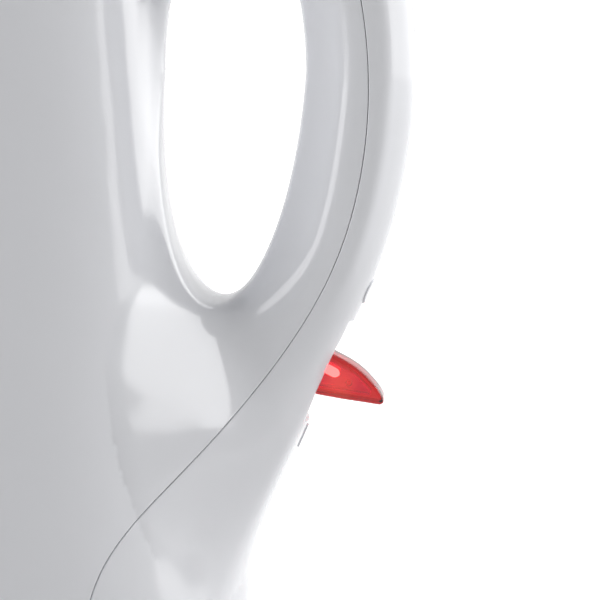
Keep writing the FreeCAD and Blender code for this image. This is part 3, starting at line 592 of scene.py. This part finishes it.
def make_jug():
    points, faces = net(jug_solid, *JUG_ROOM, STEP)
    for _ in range(2):
        points, faces = refine(jug_solid, points, faces, near_switch)
    made = {}

    cut, _, walls = split(jug_solid, points, faces, window_zone)
    cut, front, under = split(jug_solid, cut, walls, lambda p: cover_zone(p) + SEAM_ROUND + SEAM_GAP / 2)
    normals = facing(cut)
    edges = open_edges(front)
    at_seam = cover_zone(cut) > -DEEP
    seam = [e for e in edges if at_seam[e[0]]]
    rims = [e for e in edges if not at_seam[e[0]]]
    deep = cavity(*columns(cut)) > DEEP
    cut, normals, strips, last = turn_in(cut, normals, seam, SEAM_ROUND, COVER_SEAT)
    before = len(cut)
    cut, normals, sunk = backed(cut, normals, under, last, COVER_SEAT)
    pocket = (np.abs(cut[:, 1]) < POCKET_HALF) & (cut[:, 2] > POCKET_LOW) & (cut[:, 2] < POCKET_HIGH)
    pocket[:before] = False
    cut[pocket, 0] = np.minimum(cut[pocket, 0], POCKET_X)
    body = front + strips + sunk
    outside = [e for e in rims if deep[e[0]]]
    inside = [e for e in rims if not deep[e[0]]]
    cut, normals, strips, last = turn_in(cut, normals, outside, SEAM_ROUND, WALL / 2)
    body += strips
    middle = np.array([WINDOW_X, (WINDOW_LOW + WINDOW_HIGH) / 2])
    for side in (-1, 1):
        outer = [last[a] for a, b in outside if cut[a, 1] * side > 0]
        inner = [a for a, b in inside if cut[a, 1] * side > 0]
        body += zipped(cut, outer, inner, middle)
    made["body"] = cut, normals, body

    cut, _, cover = split(jug_solid, points, faces, lambda p: cover_zone(p) - SEAM_ROUND - SEAM_GAP / 2)
    cut, _, cover = split(jug_solid, cut, cover, slot_zone)
    made["cover"] = shell(cut, facing(cut), cover, SEAM_ROUND, COVER_WALL, facing(cut, plain_skin))

    for name, zone in (("off_mark", off_mark_zone), ("on_mark", on_mark_zone)):
        cut, mark, _ = split(jug_solid, points, faces, zone)
        raised = cut + MARK_RISE * facing(cut)
        made[name] = shell(raised, facing(cut), mark, MARK_ROUND, MARK_RISE + MARK_ROUND)

    cut, glazed, _ = split(jug_solid, points, faces, lambda p: window_zone(p) + WINDOW_GAP + SEAM_ROUND)
    deep = cavity(*columns(cut)) > DEEP
    for name, side in (("near", -1), ("far", 1)):
        pane = [f for f in glazed if deep[f[0]] and cut[f[0], 1] * side > 0]
        made[name] = shell(cut, facing(cut), pane, SEAM_ROUND, WALL)
    return made


# Lever

def outline_distance(corners, u, v):
    """Distance to a closed outline, below zero inside it."""
    shape = np.broadcast(u, v).shape
    nearest, inside = np.full(shape, np.inf), np.zeros(shape, bool)
    for (au, av), (bu, bv) in zip(corners, corners[1:] + corners[:1]):
        du, dv = bu - au, bv - av
        t = np.clip(((u - au) * du + (v - av) * dv) / (du * du + dv * dv), 0, 1)
        nearest = np.minimum(nearest, np.hypot(u - au - t * du, v - av - t * dv))
        if bv != av:
            inside ^= ((av > v) != (bv > v)) & (u < du * (v - av) / dv + au)
    return np.where(inside, -nearest, nearest)


def lever_corners():
    top = np.linspace(LEVER_TOP[0][0], LEVER_TOP[-1][0], 40)
    corners = list(zip(top + LEVER_DEPTH, spline(LEVER_TOP, top)))
    corners += [(u + LEVER_DEPTH, v) for u, v in LEVER_TIP + LEVER_UNDER]
    return [(float(u), float(v)) for u, v in corners]


LEVER_CORNERS = lever_corners()
LEVER_ROOM = (-5, -6, -10), (29, 6, 10)


def lever_solid(u, y, v):
    """Distance to the hollow lever in its own frame."""
    outline = lesser(outline_distance(LEVER_CORNERS, u, v), np.hypot(u, v) - DRUM_R, LEVER_NECK)
    side = np.abs(y) - LEVER_HALF
    outside = greater(outline, side, LEVER_EDGE)
    core = greater(outline + CORE_RIM, side + LEVER_WALL, CORE_EDGE)
    pip = PIP_R - np.sqrt((u - PIP_U) ** 2 + (y - LEVER_WALL + LEVER_HALF) ** 2 + (v - PIP_V) ** 2)
    core = np.maximum(np.maximum(core, pip), np.maximum(u - LEVER_DEPTH - CORE_END, HUB_R - np.hypot(u, v)))
    cut = greater(outside, -core, LEVER_CUT)
    return np.maximum(greater(cut, -HUB_R - u, LEVER_BACK), PIN_R - np.hypot(u, v))


def make_lever():
    points, faces = net(lever_solid, *LEVER_ROOM, LEVER_STEP)
    return at_lever(points, facing(points, lever_solid), faces)


def at_lever(points, normals, faces):
    """Carries a piece from the lever's own frame to its place."""
    turn = np.stack([OUT, [0, 1, 0], UP])
    return PIVOT + points @ turn, normals @ turn, faces


# Lid, hinge, base and lamp

LAMP_START, LAMP_END, LAMP_V, LAMP_R, LAMP_FOOT, LAMP_CAP = 3.5, 13.4, 0.6, 1.2, 0.5, 1.5
# Painted glow on the lever's plastic: its centre in the lever's frame, the distances over which it fades, and
# its strength
GLOW_U, GLOW_V, GLOW_NEAR, GLOW_FAR, PAINTED_GLOW = 3.6, -0.4, 2.6, 7.0, 0.08
LID_TOP, LID_LOW, LID_SIDE, LID_FLAT_R, LID_WALL = RIM_Z + 12, RIM_Z + 0.5, 4.0, 20.0, 2.2
HINGE_X, HINGE_Z, KNUCKLE_R, KNUCKLE_HALF, EAR_T = RIM_R + 6, RIM_Z + 3.8, 3.2, 6.5, 4.0
HINGE_PIN_R, HINGE_GAP, HINGE_EDGE, HINGE_BORE_EDGE = 1.55, 0.3, 0.8, 0.2
ARM_BLEND, EAR_BLEND = 1.0, 0.3
GRIP_REACH, GRIP_HALF, GRIP_H, GRIP_EDGE, GRIP_SINK = 7.0, 6.0, 6.0, 3.0, 0.3
WAIST_DEPTH, WAIST_REACH = 1.2, 6.0
PLUG_R, PLUG_LOW, PLUG_SEAT, FLANGE_R = 42.0, RIM_Z - 6, 0.6, 45.0
BASE_R, BASE_TOP, BASE_LOW, BASE_WALL, BASE_EDGE, NECK_R = 74.0, 17.0, 2.0, 2.5, 4.0, 16.8
BASE_FOOT, BASE_INNER, BASE_RIM, NECK_EDGE, GLAND_EDGE = 0.7, 2.0, 0.5, 0.6, 0.2
GLAND_HOLE_R, GLAND_Z = 3.5, 8.7
EARS_ROOM = (HINGE_X - 5, -12, RIM_Z - 3), (HINGE_X + 5, 12, HINGE_Z + 5)
KNUCKLE_ROOM = (RIM_R - 4, -8, LID_LOW - 2), (HINGE_X + 5, 8, HINGE_Z + 5)
KNOB_ROOM = (-15, -8, LID_TOP - 2), (15, 8, LID_TOP + GRIP_H + 2)
BASE_ROOM = (-77, -77, 0), (77, 77, 19)


def turned(corners, steps=6):
    """Outline of a turned piece: corners of radius, height and rounding, into points and outward normals."""
    spots, ways = [], []
    count = len(corners)
    for i, (r, z, rounding) in enumerate(corners):
        here = np.array([r, z])
        before = here - corners[i - 1][:2] if i > 0 else None
        after = np.array(corners[i + 1][:2]) - here if i < count - 1 else None
        before = after if before is None else before
        after = before if after is None else after
        before, after = before / np.hypot(*before), after / np.hypot(*after)
        bend = math.atan2(before[0] * after[1] - before[1] * after[0], before @ after)
        if abs(bend) < 1e-4 or rounding == 0:
            mean = before + after
            spots.append(here)
            ways.append(np.array([mean[1], -mean[0]]) / np.hypot(*mean))
            continue
        back = rounding * math.tan(abs(bend) / 2)
        start = here - before * back
        side = np.array([before[1], -before[0]])
        centre = start - math.copysign(rounding, bend) * side
        for k in range(steps + 1):
            a = bend * k / steps
            way = np.array([side[0] * math.cos(a) - side[1] * math.sin(a),
                            side[0] * math.sin(a) + side[1] * math.cos(a)])
            spots.append(centre + math.copysign(rounding, bend) * way)
            ways.append(way)
    return np.array(spots), np.array(ways)


def lathe(corners, x=0.0, around=168):
    """Turned piece about an upright axis: points, normals and faces."""
    spots, ways = turned(corners)
    points, normals, rings = [], [], []
    for (r, z), (wr, wz) in zip(spots, ways):
        if r < 1e-6:
            rings.append([len(points)] * around)
            points.append((x, 0, z))
            normals.append((0, 0, math.copysign(1, wz)))
            continue
        rings.append(list(range(len(points), len(points) + around)))
        for k in range(around):
            a = 2 * math.pi * k / around
            points.append((x + r * math.cos(a), r * math.sin(a), z))
            normals.append((wr * math.cos(a), wr * math.sin(a), wz))
    faces = []
    for low, high in zip(rings, rings[1:]):
        for k in range(around):
            j = (k + 1) % around
            face = tuple(dict.fromkeys((low[k], low[j], high[j], high[k])))
            if len(face) > 2:
                faces.append(face)
    return np.array(points, float), np.array(normals, float), faces


def dome(inset, steps=24):
    """Curve of the lid from its side to its flat middle."""
    r, high, side = RIM_R - inset, LID_TOP - inset, LID_LOW + LID_SIDE - inset
    poles = [(r, side), (r - LID_SIDE / 2, high - LID_SIDE / 4), ((r + LID_FLAT_R) / 2, high),
             (LID_FLAT_R, high)]
    curve = []
    for k in range(steps + 1):
        t = k / steps
        share_of = ((1 - t) ** 3, 3 * t * (1 - t) ** 2, 3 * t * t * (1 - t), t ** 3)
        curve.append((*(sum(w * p[i] for w, p in zip(share_of, poles)) for i in (0, 1)), 0))
    return curve


def make_lid_dome():
    inner = RIM_R - LID_WALL
    under = [(0, LID_TOP - LID_WALL, 0)] + dome(LID_WALL)[::-1]
    return lathe(under + [(inner, LID_LOW, 0.4), (RIM_R, LID_LOW, 0.8)] + dome(0) + [(0, LID_TOP, 0)])


def make_lid_plug():
    mid = LID_LOW + LID_WALL
    plug = lathe([(0, PLUG_LOW, 0), (PLUG_R, PLUG_LOW, 2), (PLUG_R, mid - PLUG_SEAT, 0.4),
                  (0, mid - PLUG_SEAT, 0)], x=-CHAMBER_SHIFT)
    flange = lathe([(0, LID_LOW, 0), (FLANGE_R, LID_LOW, 0.4), (FLANGE_R, mid, 0.4), (0, mid, 0)])
    count = len(plug[0])
    return (np.concatenate([plug[0], flange[0]]), np.concatenate([plug[1], flange[1]]),
            plug[2] + [tuple(i + count for i in f) for f in flange[2]])


def knuckle_solid(x, y, z):
    arm = np.maximum(np.maximum(RIM_R - LID_WALL / 2 - x, x - HINGE_X),
                     np.maximum(LID_LOW - z, z - HINGE_Z - KNUCKLE_R / 2))
    profile = lesser(arm, np.hypot(x - HINGE_X, z - HINGE_Z) - KNUCKLE_R, ARM_BLEND)
    bar = greater(profile, np.abs(y) - KNUCKLE_HALF, HINGE_EDGE)
    return greater(bar, HINGE_PIN_R - np.hypot(x - HINGE_X, z - HINGE_Z), HINGE_BORE_EDGE)


def ears_solid(x, y, z):
    foot = np.maximum(np.abs(x - HINGE_X) - KNUCKLE_R, np.maximum(RIM_Z - WALL / 2 - z, z - HINGE_Z))
    profile = lesser(foot, np.hypot(x - HINGE_X, z - HINGE_Z) - KNUCKLE_R, EAR_BLEND)
    middle = KNUCKLE_HALF + HINGE_GAP + EAR_T / 2
    ear = greater(profile, np.abs(np.abs(y) - middle) - EAR_T / 2, HINGE_EDGE)
    return greater(ear, HINGE_PIN_R - np.hypot(x - HINGE_X, z - HINGE_Z), HINGE_BORE_EDGE)


def grip_solid(x, y, z):
    """Bar to lift the lid by, waisted at its sides for finger and thumb."""
    waist = WAIST_DEPTH * np.exp(-(x / WAIST_REACH) ** 2)
    plan = np.hypot(np.maximum(np.abs(x) - GRIP_REACH, 0), y) - GRIP_HALF + waist
    return np.maximum(greater(plan, z - LID_TOP - GRIP_H, GRIP_EDGE), LID_TOP - GRIP_SINK - z)


def on_net(field, low, high, step):
    points, faces = net(field, low, high, step)
    return points, facing(points, field), faces


def make_lamp():
    """Round-ended lamp lying along the lever."""
    ends = [(0, LAMP_START, 0), (LAMP_R, LAMP_START, LAMP_FOOT),
            (LAMP_R, LAMP_END, LAMP_CAP), (0, LAMP_END, 0)]
    points, normals, faces = lathe(ends, around=48)
    return at_lever(points[:, [2, 1, 0]] + np.array([0, 0, LAMP_V]), normals[:, [2, 1, 0]], faces)


def base_solid(x, y, z):
    """Round cover of the base, open below, with holes for the connector and the cord gland."""
    r = np.hypot(x, y)
    outside = greater(greater(r - BASE_R, z - BASE_TOP, BASE_EDGE), BASE_LOW - z, BASE_FOOT)
    room = greater(r - BASE_R + BASE_WALL, z - BASE_TOP + BASE_WALL, BASE_INNER)
    hollow = greater(greater(outside, -room, BASE_RIM), NECK_R - r, NECK_EDGE)
    gland = np.maximum(np.hypot(y, z - GLAND_Z) - GLAND_HOLE_R, -x)
    return greater(hollow, -gland, GLAND_EDGE)


# Finishes

PATCH_LOW, PATCH_HIGH = 0.3, 0.7


def colour(value):
    """Linear colour from an sRGB hex value."""
    parts = [int(value[i:i + 2], 16) / 255 for i in (1, 3, 5)]
    return (*(c / 12.92 if c <= 0.04045 else ((c + 0.055) / 1.055) ** 2.4 for c in parts), 1)


def add(tree, kind, inputs=None, **settings):
    """Node with its settings, its values, and its links from other nodes' outputs."""
    node = tree.nodes.new(kind)
    for name, value in settings.items():
        setattr(node, name, value)
    for name, value in (inputs or {}).items():
        if isinstance(value, bpy.types.NodeSocket):
            tree.links.new(value, node.inputs[name])
        else:
            node.inputs[name].default_value = value
    return node


def finish_of(name, shades, patch, roughness, waves, stretch=(1, 1, 1), **sockets):
    """Finish with two shades in patches, a range of roughness, and waves of given sizes and depths in mm."""
    made = bpy.data.materials.new(name)
    made.use_nodes = True
    tree = made.node_tree
    shader = tree.nodes["Principled BSDF"]
    place = add(tree, "ShaderNodeTexCoord").outputs["Object"]
    drawn = add(tree, "ShaderNodeMapping", {"Vector": place, "Scale": stretch}).outputs["Vector"]
    patches = add(tree, "ShaderNodeTexNoise", {"Vector": drawn, "Scale": 1 / (patch * MM), "Detail": 4.0})
    patchy = patches.outputs["Fac"]
    shade = add(tree, "ShaderNodeMix", {0: patchy, 6: colour(shades[0]), 7: colour(shades[1])},
                data_type="RGBA")
    gloss = add(tree, "ShaderNodeMapRange", {"Value": patchy, "From Min": PATCH_LOW, "From Max": PATCH_HIGH,
                                             "To Min": roughness[0], "To Max": roughness[1]})
    tree.links.new(shade.outputs[2], shader.inputs["Base Color"])
    tree.links.new(gloss.outputs["Result"], shader.inputs["Roughness"])
    bump = None
    for size, depth in waves:
        wave = add(tree, "ShaderNodeTexNoise", {"Vector": drawn, "Scale": 1 / (size * MM), "Detail": 1.0})
        under = {} if bump is None else {"Normal": bump.outputs["Normal"]}
        bump = add(tree, "ShaderNodeBump", {"Height": wave.outputs["Fac"], "Distance": depth * MM, **under})
    if bump:
        tree.links.new(bump.outputs["Normal"], shader.inputs["Normal"])
    for socket, value in sockets.items():
        shader.inputs[socket.replace("_", " ").title().replace("Ior", "IOR")].default_value = value
    return made


# Polypropylene, moulded in a polished tool: bright white, high gloss, with faint long waves where it shrank
white_pp = finish_of("white_polypropylene_gloss", ("#EEEFF3", "#EAEBEF"), 60, (0.08, 0.15),
                     ((24, 0.5), (1.3, 0.0012)), ior=1.49)
# The same polypropylene inside the lid, from a plainer tool: less gloss
white_pp_satin = finish_of("white_polypropylene_satin", ("#ECECE8", "#E6E6E2"), 30, (0.3, 0.4),
                           ((20, 0.03), (0.6, 0.004)), ior=1.49)
# Acrylic, tinted red right through and moulded clear: crimson along its walls. The orange where the lamp
# is behind it is painted glow, an emission on the plastic itself
red_acrylic = finish_of("red_acrylic_clear", ("#DD7C98", "#D87692"), 12, (0.03, 0.07),
                        ((6, 0.03), (0.9, 0.002)), ior=1.49, transmission_weight=1.0,
                        emission_color=colour("#FFC070"))
# Polycarbonate, clear with a grey tint and a fine spark finish behind, so that water shows as a soft level
clear_pc = finish_of("smoked_polycarbonate_frosted", ("#D7DADC", "#CDD1D4"), 25, (0.16, 0.26),
                     ((18, 0.04), (0.5, 0.003)), ior=1.58, transmission_weight=0.75)
# Soda glass of the lamp, drawn as tube and lit right through by the neon: warm and pale through the red
lamp_glass = finish_of("soda_glass_neon_lit", ("#FFD9BC", "#FFC79E"), 3, (0.02, 0.05), ((4, 0.02),), ior=1.52,
                       emission_color=colour("#FFDC78"), emission_strength=16.0)
# Glass-filled nylon: grey, dry and slightly mottled by the fibres at its skin
grey_nylon = finish_of("grey_glass_filled_nylon", ("#8E9294", "#7C8184"), 4, (0.42, 0.55),
                       ((3, 0.02), (0.7, 0.006)), ior=1.53)
# Phenolic, pressed from powder: black-brown with a dull sheen and fine specks
black_phenolic = finish_of("black_phenolic_moulded", ("#1D1B1A", "#2A2725"), 3, (0.3, 0.45),
                           ((8, 0.02), (0.8, 0.006)), ior=1.6)
# Stainless steel, brushed one way: fine lines that draw highlights out across them
stainless = finish_of("stainless_steel_brushed", ("#C9C8C4", "#B4B3AF"), 1.2, (0.2, 0.36),
                      ((1.0, 0.004),), (1, 14, 1), metallic=1.0)
# Steel with bright zinc plate: bluish and slightly cloudy
zinc_steel = finish_of("zinc_plated_steel", ("#B9BFC4", "#A3AAB0"), 3, (0.25, 0.42), ((1.5, 0.008),),
                       metallic=1.0)
# Brass strip, rolled and wiped: warm, with darker handled patches
brass = finish_of("rolled_brass", ("#C9A24E", "#A97F36"), 6, (0.22, 0.4), ((2.5, 0.006),), metallic=1.0)
# Nitrile rubber feet: near black, matt, with a dusty skin
rubber = finish_of("nitrile_rubber", ("#202122", "#2D2E2F"), 5, (0.7, 0.85), ((1.2, 0.03),), ior=1.52)
# Silicone gasket: milky, soft sheen
silicone = finish_of("milky_silicone", ("#D9D6CE", "#CDC9C0"), 8, (0.4, 0.5), ((5, 0.02),), ior=1.41)

# Depth of the red: thin walls stay lighter, and the long way through goes crimson
RED_DEPTH = 1300.0
red_tree = red_acrylic.node_tree
soak = add(red_tree, "ShaderNodeVolumeAbsorption", {"Color": colour("#FA00B5"), "Density": RED_DEPTH})
red_tree.links.new(soak.outputs["Volume"], red_tree.nodes["Material Output"].inputs["Volume"])
# Painted glow: emission on the plastic that stands in for the lamp's light, falling away from a point in
# front of the lamp
painted_glow_centre = (PIVOT + OUT * (LEVER_DEPTH + GLOW_U) + UP * GLOW_V) * MM
from_lamp = add(red_tree, "ShaderNodeVectorMath", operation="DISTANCE",
                inputs={0: add(red_tree, "ShaderNodeTexCoord").outputs["Object"], 1: painted_glow_centre})
painted_glow = add(red_tree, "ShaderNodeMapRange", interpolation_type="SMOOTHSTEP",
           inputs={"Value": from_lamp.outputs["Value"], "From Min": GLOW_NEAR * MM, "From Max": GLOW_FAR * MM,
                   "To Min": PAINTED_GLOW, "To Max": 0.0})
red_tree.links.new(painted_glow.outputs["Result"], red_tree.nodes["Principled BSDF"].inputs["Emission Strength"])


# The kettle

jug = make_jug()
make_piece("jug", "jug", "white_plastic", white_pp, *jug["body"], replaced=["jug_body"])
make_piece("rear_cover", "jug", "white_plastic", white_pp, *jug["cover"], replaced=["handle_cover"])
make_piece("off_mark", "jug", "white_plastic", white_pp, *jug["off_mark"])
make_piece("on_mark", "jug", "white_plastic", white_pp, *jug["on_mark"])
make_piece("near_window", "jug", "clear_plastic", clear_pc, *jug["near"], replaced=["water_window_near"])
make_piece("far_window", "jug", "clear_plastic", clear_pc, *jug["far"], replaced=["water_window_far"])
make_piece("hinge_ears", "jug", "white_plastic", white_pp,
           *on_net(ears_solid, *EARS_ROOM, HINGE_STEP))
make_piece("rocker", "lever", "red_plastic", red_acrylic, *make_lever(), replaced=["switch_lever"])
make_piece("lamp", "lever", "lamp_glass", lamp_glass, *make_lamp(), replaced=["neon_lamp"])
make_piece("lid_dome", "lid", "white_plastic", white_pp, *make_lid_dome(), replaced=["lid_shell"])
make_piece("lid_plug", "lid", "white_plastic", white_pp_satin, *make_lid_plug(), replaced=["lid_inner"])
make_piece("lid_knuckle", "lid", "white_plastic", white_pp,
           *on_net(knuckle_solid, *KNUCKLE_ROOM, HINGE_STEP))
make_piece("lid_knob", "lid", "white_plastic", white_pp,
           *on_net(grip_solid, *KNOB_ROOM, KNOB_STEP), replaced=["lid_grip"])
make_piece("base_cover", "power_base", "white_plastic", white_pp,
           *on_net(base_solid, *BASE_ROOM, BASE_STEP), replaced=["base_shell"])

CAD_FINISHES = {
    white_pp_satin: ["base_bottom", "bottom_cover", "filter_frame"],
    grey_nylon: ["switch_housing", "connector_socket", "terminal_block"],
    black_phenolic: ["control_unit", "connector_post"],
    stainless: ["heating_plate", "heating_element", "filter_mesh", "lid_hinge_pin", "lever_pin",
                "detent_spring"],
    zinc_steel: ["base_screws", "bottom_screws", "steam_bimetal", "control_bimetals"],
    brass: ["contact_strips", "contact_rings", "earth_pin", "socket_contacts"],
    rubber: ["base_feet", "cord_gland"],
    silicone: ["plate_seal"],
}
for finish, names in CAD_FINISHES.items():
    for name in names:
        for material_slot in frame["nodes"][name].material_slots:
            material_slot.material = finish


# Floor, light and camera, in metres and degrees

FILL, FLOOR_NEAR, FLOOR_FAR = 0.2, 0.8, 1.0
FLOOR_HALF, FLOOR_START, FLOOR_END = 8.0, 0.4, 1.6
SOFTBOX_AWAY, SOFTBOX_AIM_X = 1.3, 0.06


def flag_of_view(tree):
    """One for rays from the camera, mirrors and glass, else zero: the white behind the kettle."""
    rays = add(tree, "ShaderNodeLightPath")
    first = add(tree, "ShaderNodeMath", {0: rays.outputs["Is Camera Ray"], 1: rays.outputs["Is Glossy Ray"]})
    return add(tree, "ShaderNodeMath", {0: first.outputs[0], 1: rays.outputs["Is Transmission Ray"]},
               use_clamp=True).outputs[0]


def make_floor():
    half = FLOOR_HALF
    mesh = bpy.data.meshes.new("floor")
    corners = [(-half, -half, 0), (half, -half, 0), (half, half, 0), (-half, half, 0)]
    mesh.from_pydata(corners, [], [(0, 1, 2, 3)])
    floor = bpy.data.objects.new("floor", mesh)
    bpy.context.scene.collection.objects.link(floor)
    paper = bpy.data.materials.new("white_paper_sweep")
    paper.use_nodes = True
    tree = paper.node_tree
    tree.nodes.remove(tree.nodes["Principled BSDF"])
    matt = add(tree, "ShaderNodeBsdfDiffuse", {"Color": colour("#EDEDED")})
    place = add(tree, "ShaderNodeTexCoord").outputs["Object"]
    away = add(tree, "ShaderNodeVectorMath", {0: place}, operation="LENGTH").outputs["Value"]
    lift = add(tree, "ShaderNodeMapRange", {"Value": away, "From Min": FLOOR_START, "From Max": FLOOR_END,
                                            "To Min": FLOOR_NEAR, "To Max": FLOOR_FAR}).outputs["Result"]
    bright = add(tree, "ShaderNodeMath", {0: flag_of_view(tree), 1: lift}, operation="MULTIPLY")
    white = add(tree, "ShaderNodeEmission", {"Strength": bright.outputs[0]})
    both = add(tree, "ShaderNodeAddShader", {0: matt.outputs[0], 1: white.outputs[0]})
    tree.links.new(both.outputs[0], tree.nodes["Material Output"].inputs["Surface"])
    mesh.materials.append(paper)


def make_world():
    world = bpy.data.worlds.new("studio")
    world.use_nodes = True
    tree = world.node_tree
    fill = tree.nodes["Background"]
    fill.inputs["Color"].default_value = colour("#FFFFFF")
    fill.inputs["Strength"].default_value = FILL
    white = add(tree, "ShaderNodeBackground", {"Strength": 1.0, "Color": colour("#FFFFFF")})
    shown = add(tree, "ShaderNodeMixShader", {0: flag_of_view(tree), 1: fill.outputs[0], 2: white.outputs[0]})
    tree.links.new(shown.outputs[0], tree.nodes["World Output"].inputs["Surface"])
    bpy.context.scene.world = world


def toward(azimuth, elevation):
    """Direction from the kettle, the azimuth counted from straight in front towards the handle's side."""
    a, e = math.radians(azimuth), math.radians(elevation)
    return Vector((math.sin(a) * math.cos(e), -math.cos(a) * math.cos(e), math.sin(e)))


def make_softbox(name, azimuth, low, size, watts):
    """Upright softbox that faces the kettle, its lower edge at a height above the floor."""
    lamp = bpy.data.lights.new(name, "AREA")
    lamp.shape = "RECTANGLE"
    lamp.size, lamp.size_y = size
    lamp.energy = watts
    box = bpy.data.objects.new(name, lamp)
    box.location = Vector((SOFTBOX_AIM_X, 0, low + size[1] / 2)) + SOFTBOX_AWAY * toward(azimuth, 0)
    box.rotation_euler = (-toward(azimuth, 0)).to_track_quat("-Z", "Y").to_euler()
    box.visible_camera = False
    bpy.context.scene.collection.objects.link(box)


def make_camera(aim, azimuth, elevation, distance, lens):
    data = bpy.data.cameras.new("camera")
    data.lens = lens
    camera = bpy.data.objects.new("camera", data)
    back = toward(azimuth, elevation)
    camera.location = Vector(aim) + distance * back
    camera.rotation_euler = (-back).to_track_quat("-Z", "Y").to_euler()
    bpy.context.scene.collection.objects.link(camera)
    bpy.context.scene.camera = camera


make_floor()
make_world()
make_softbox("left_softbox", azimuth=-53, low=0.01, size=(0.55, 1.2), watts=7.5)
make_softbox("right_softbox", azimuth=86, low=0.31, size=(0.74, 0.6), watts=7.2)
make_softbox("rear_softbox", azimuth=123, low=0.01, size=(1.32, 1.5), watts=12.5)
make_camera(aim=(0.0855, 0, 0.1139), azimuth=3, elevation=9, distance=1.2, lens=288)
bpy.context.scene.view_settings.view_transform = "Standard"
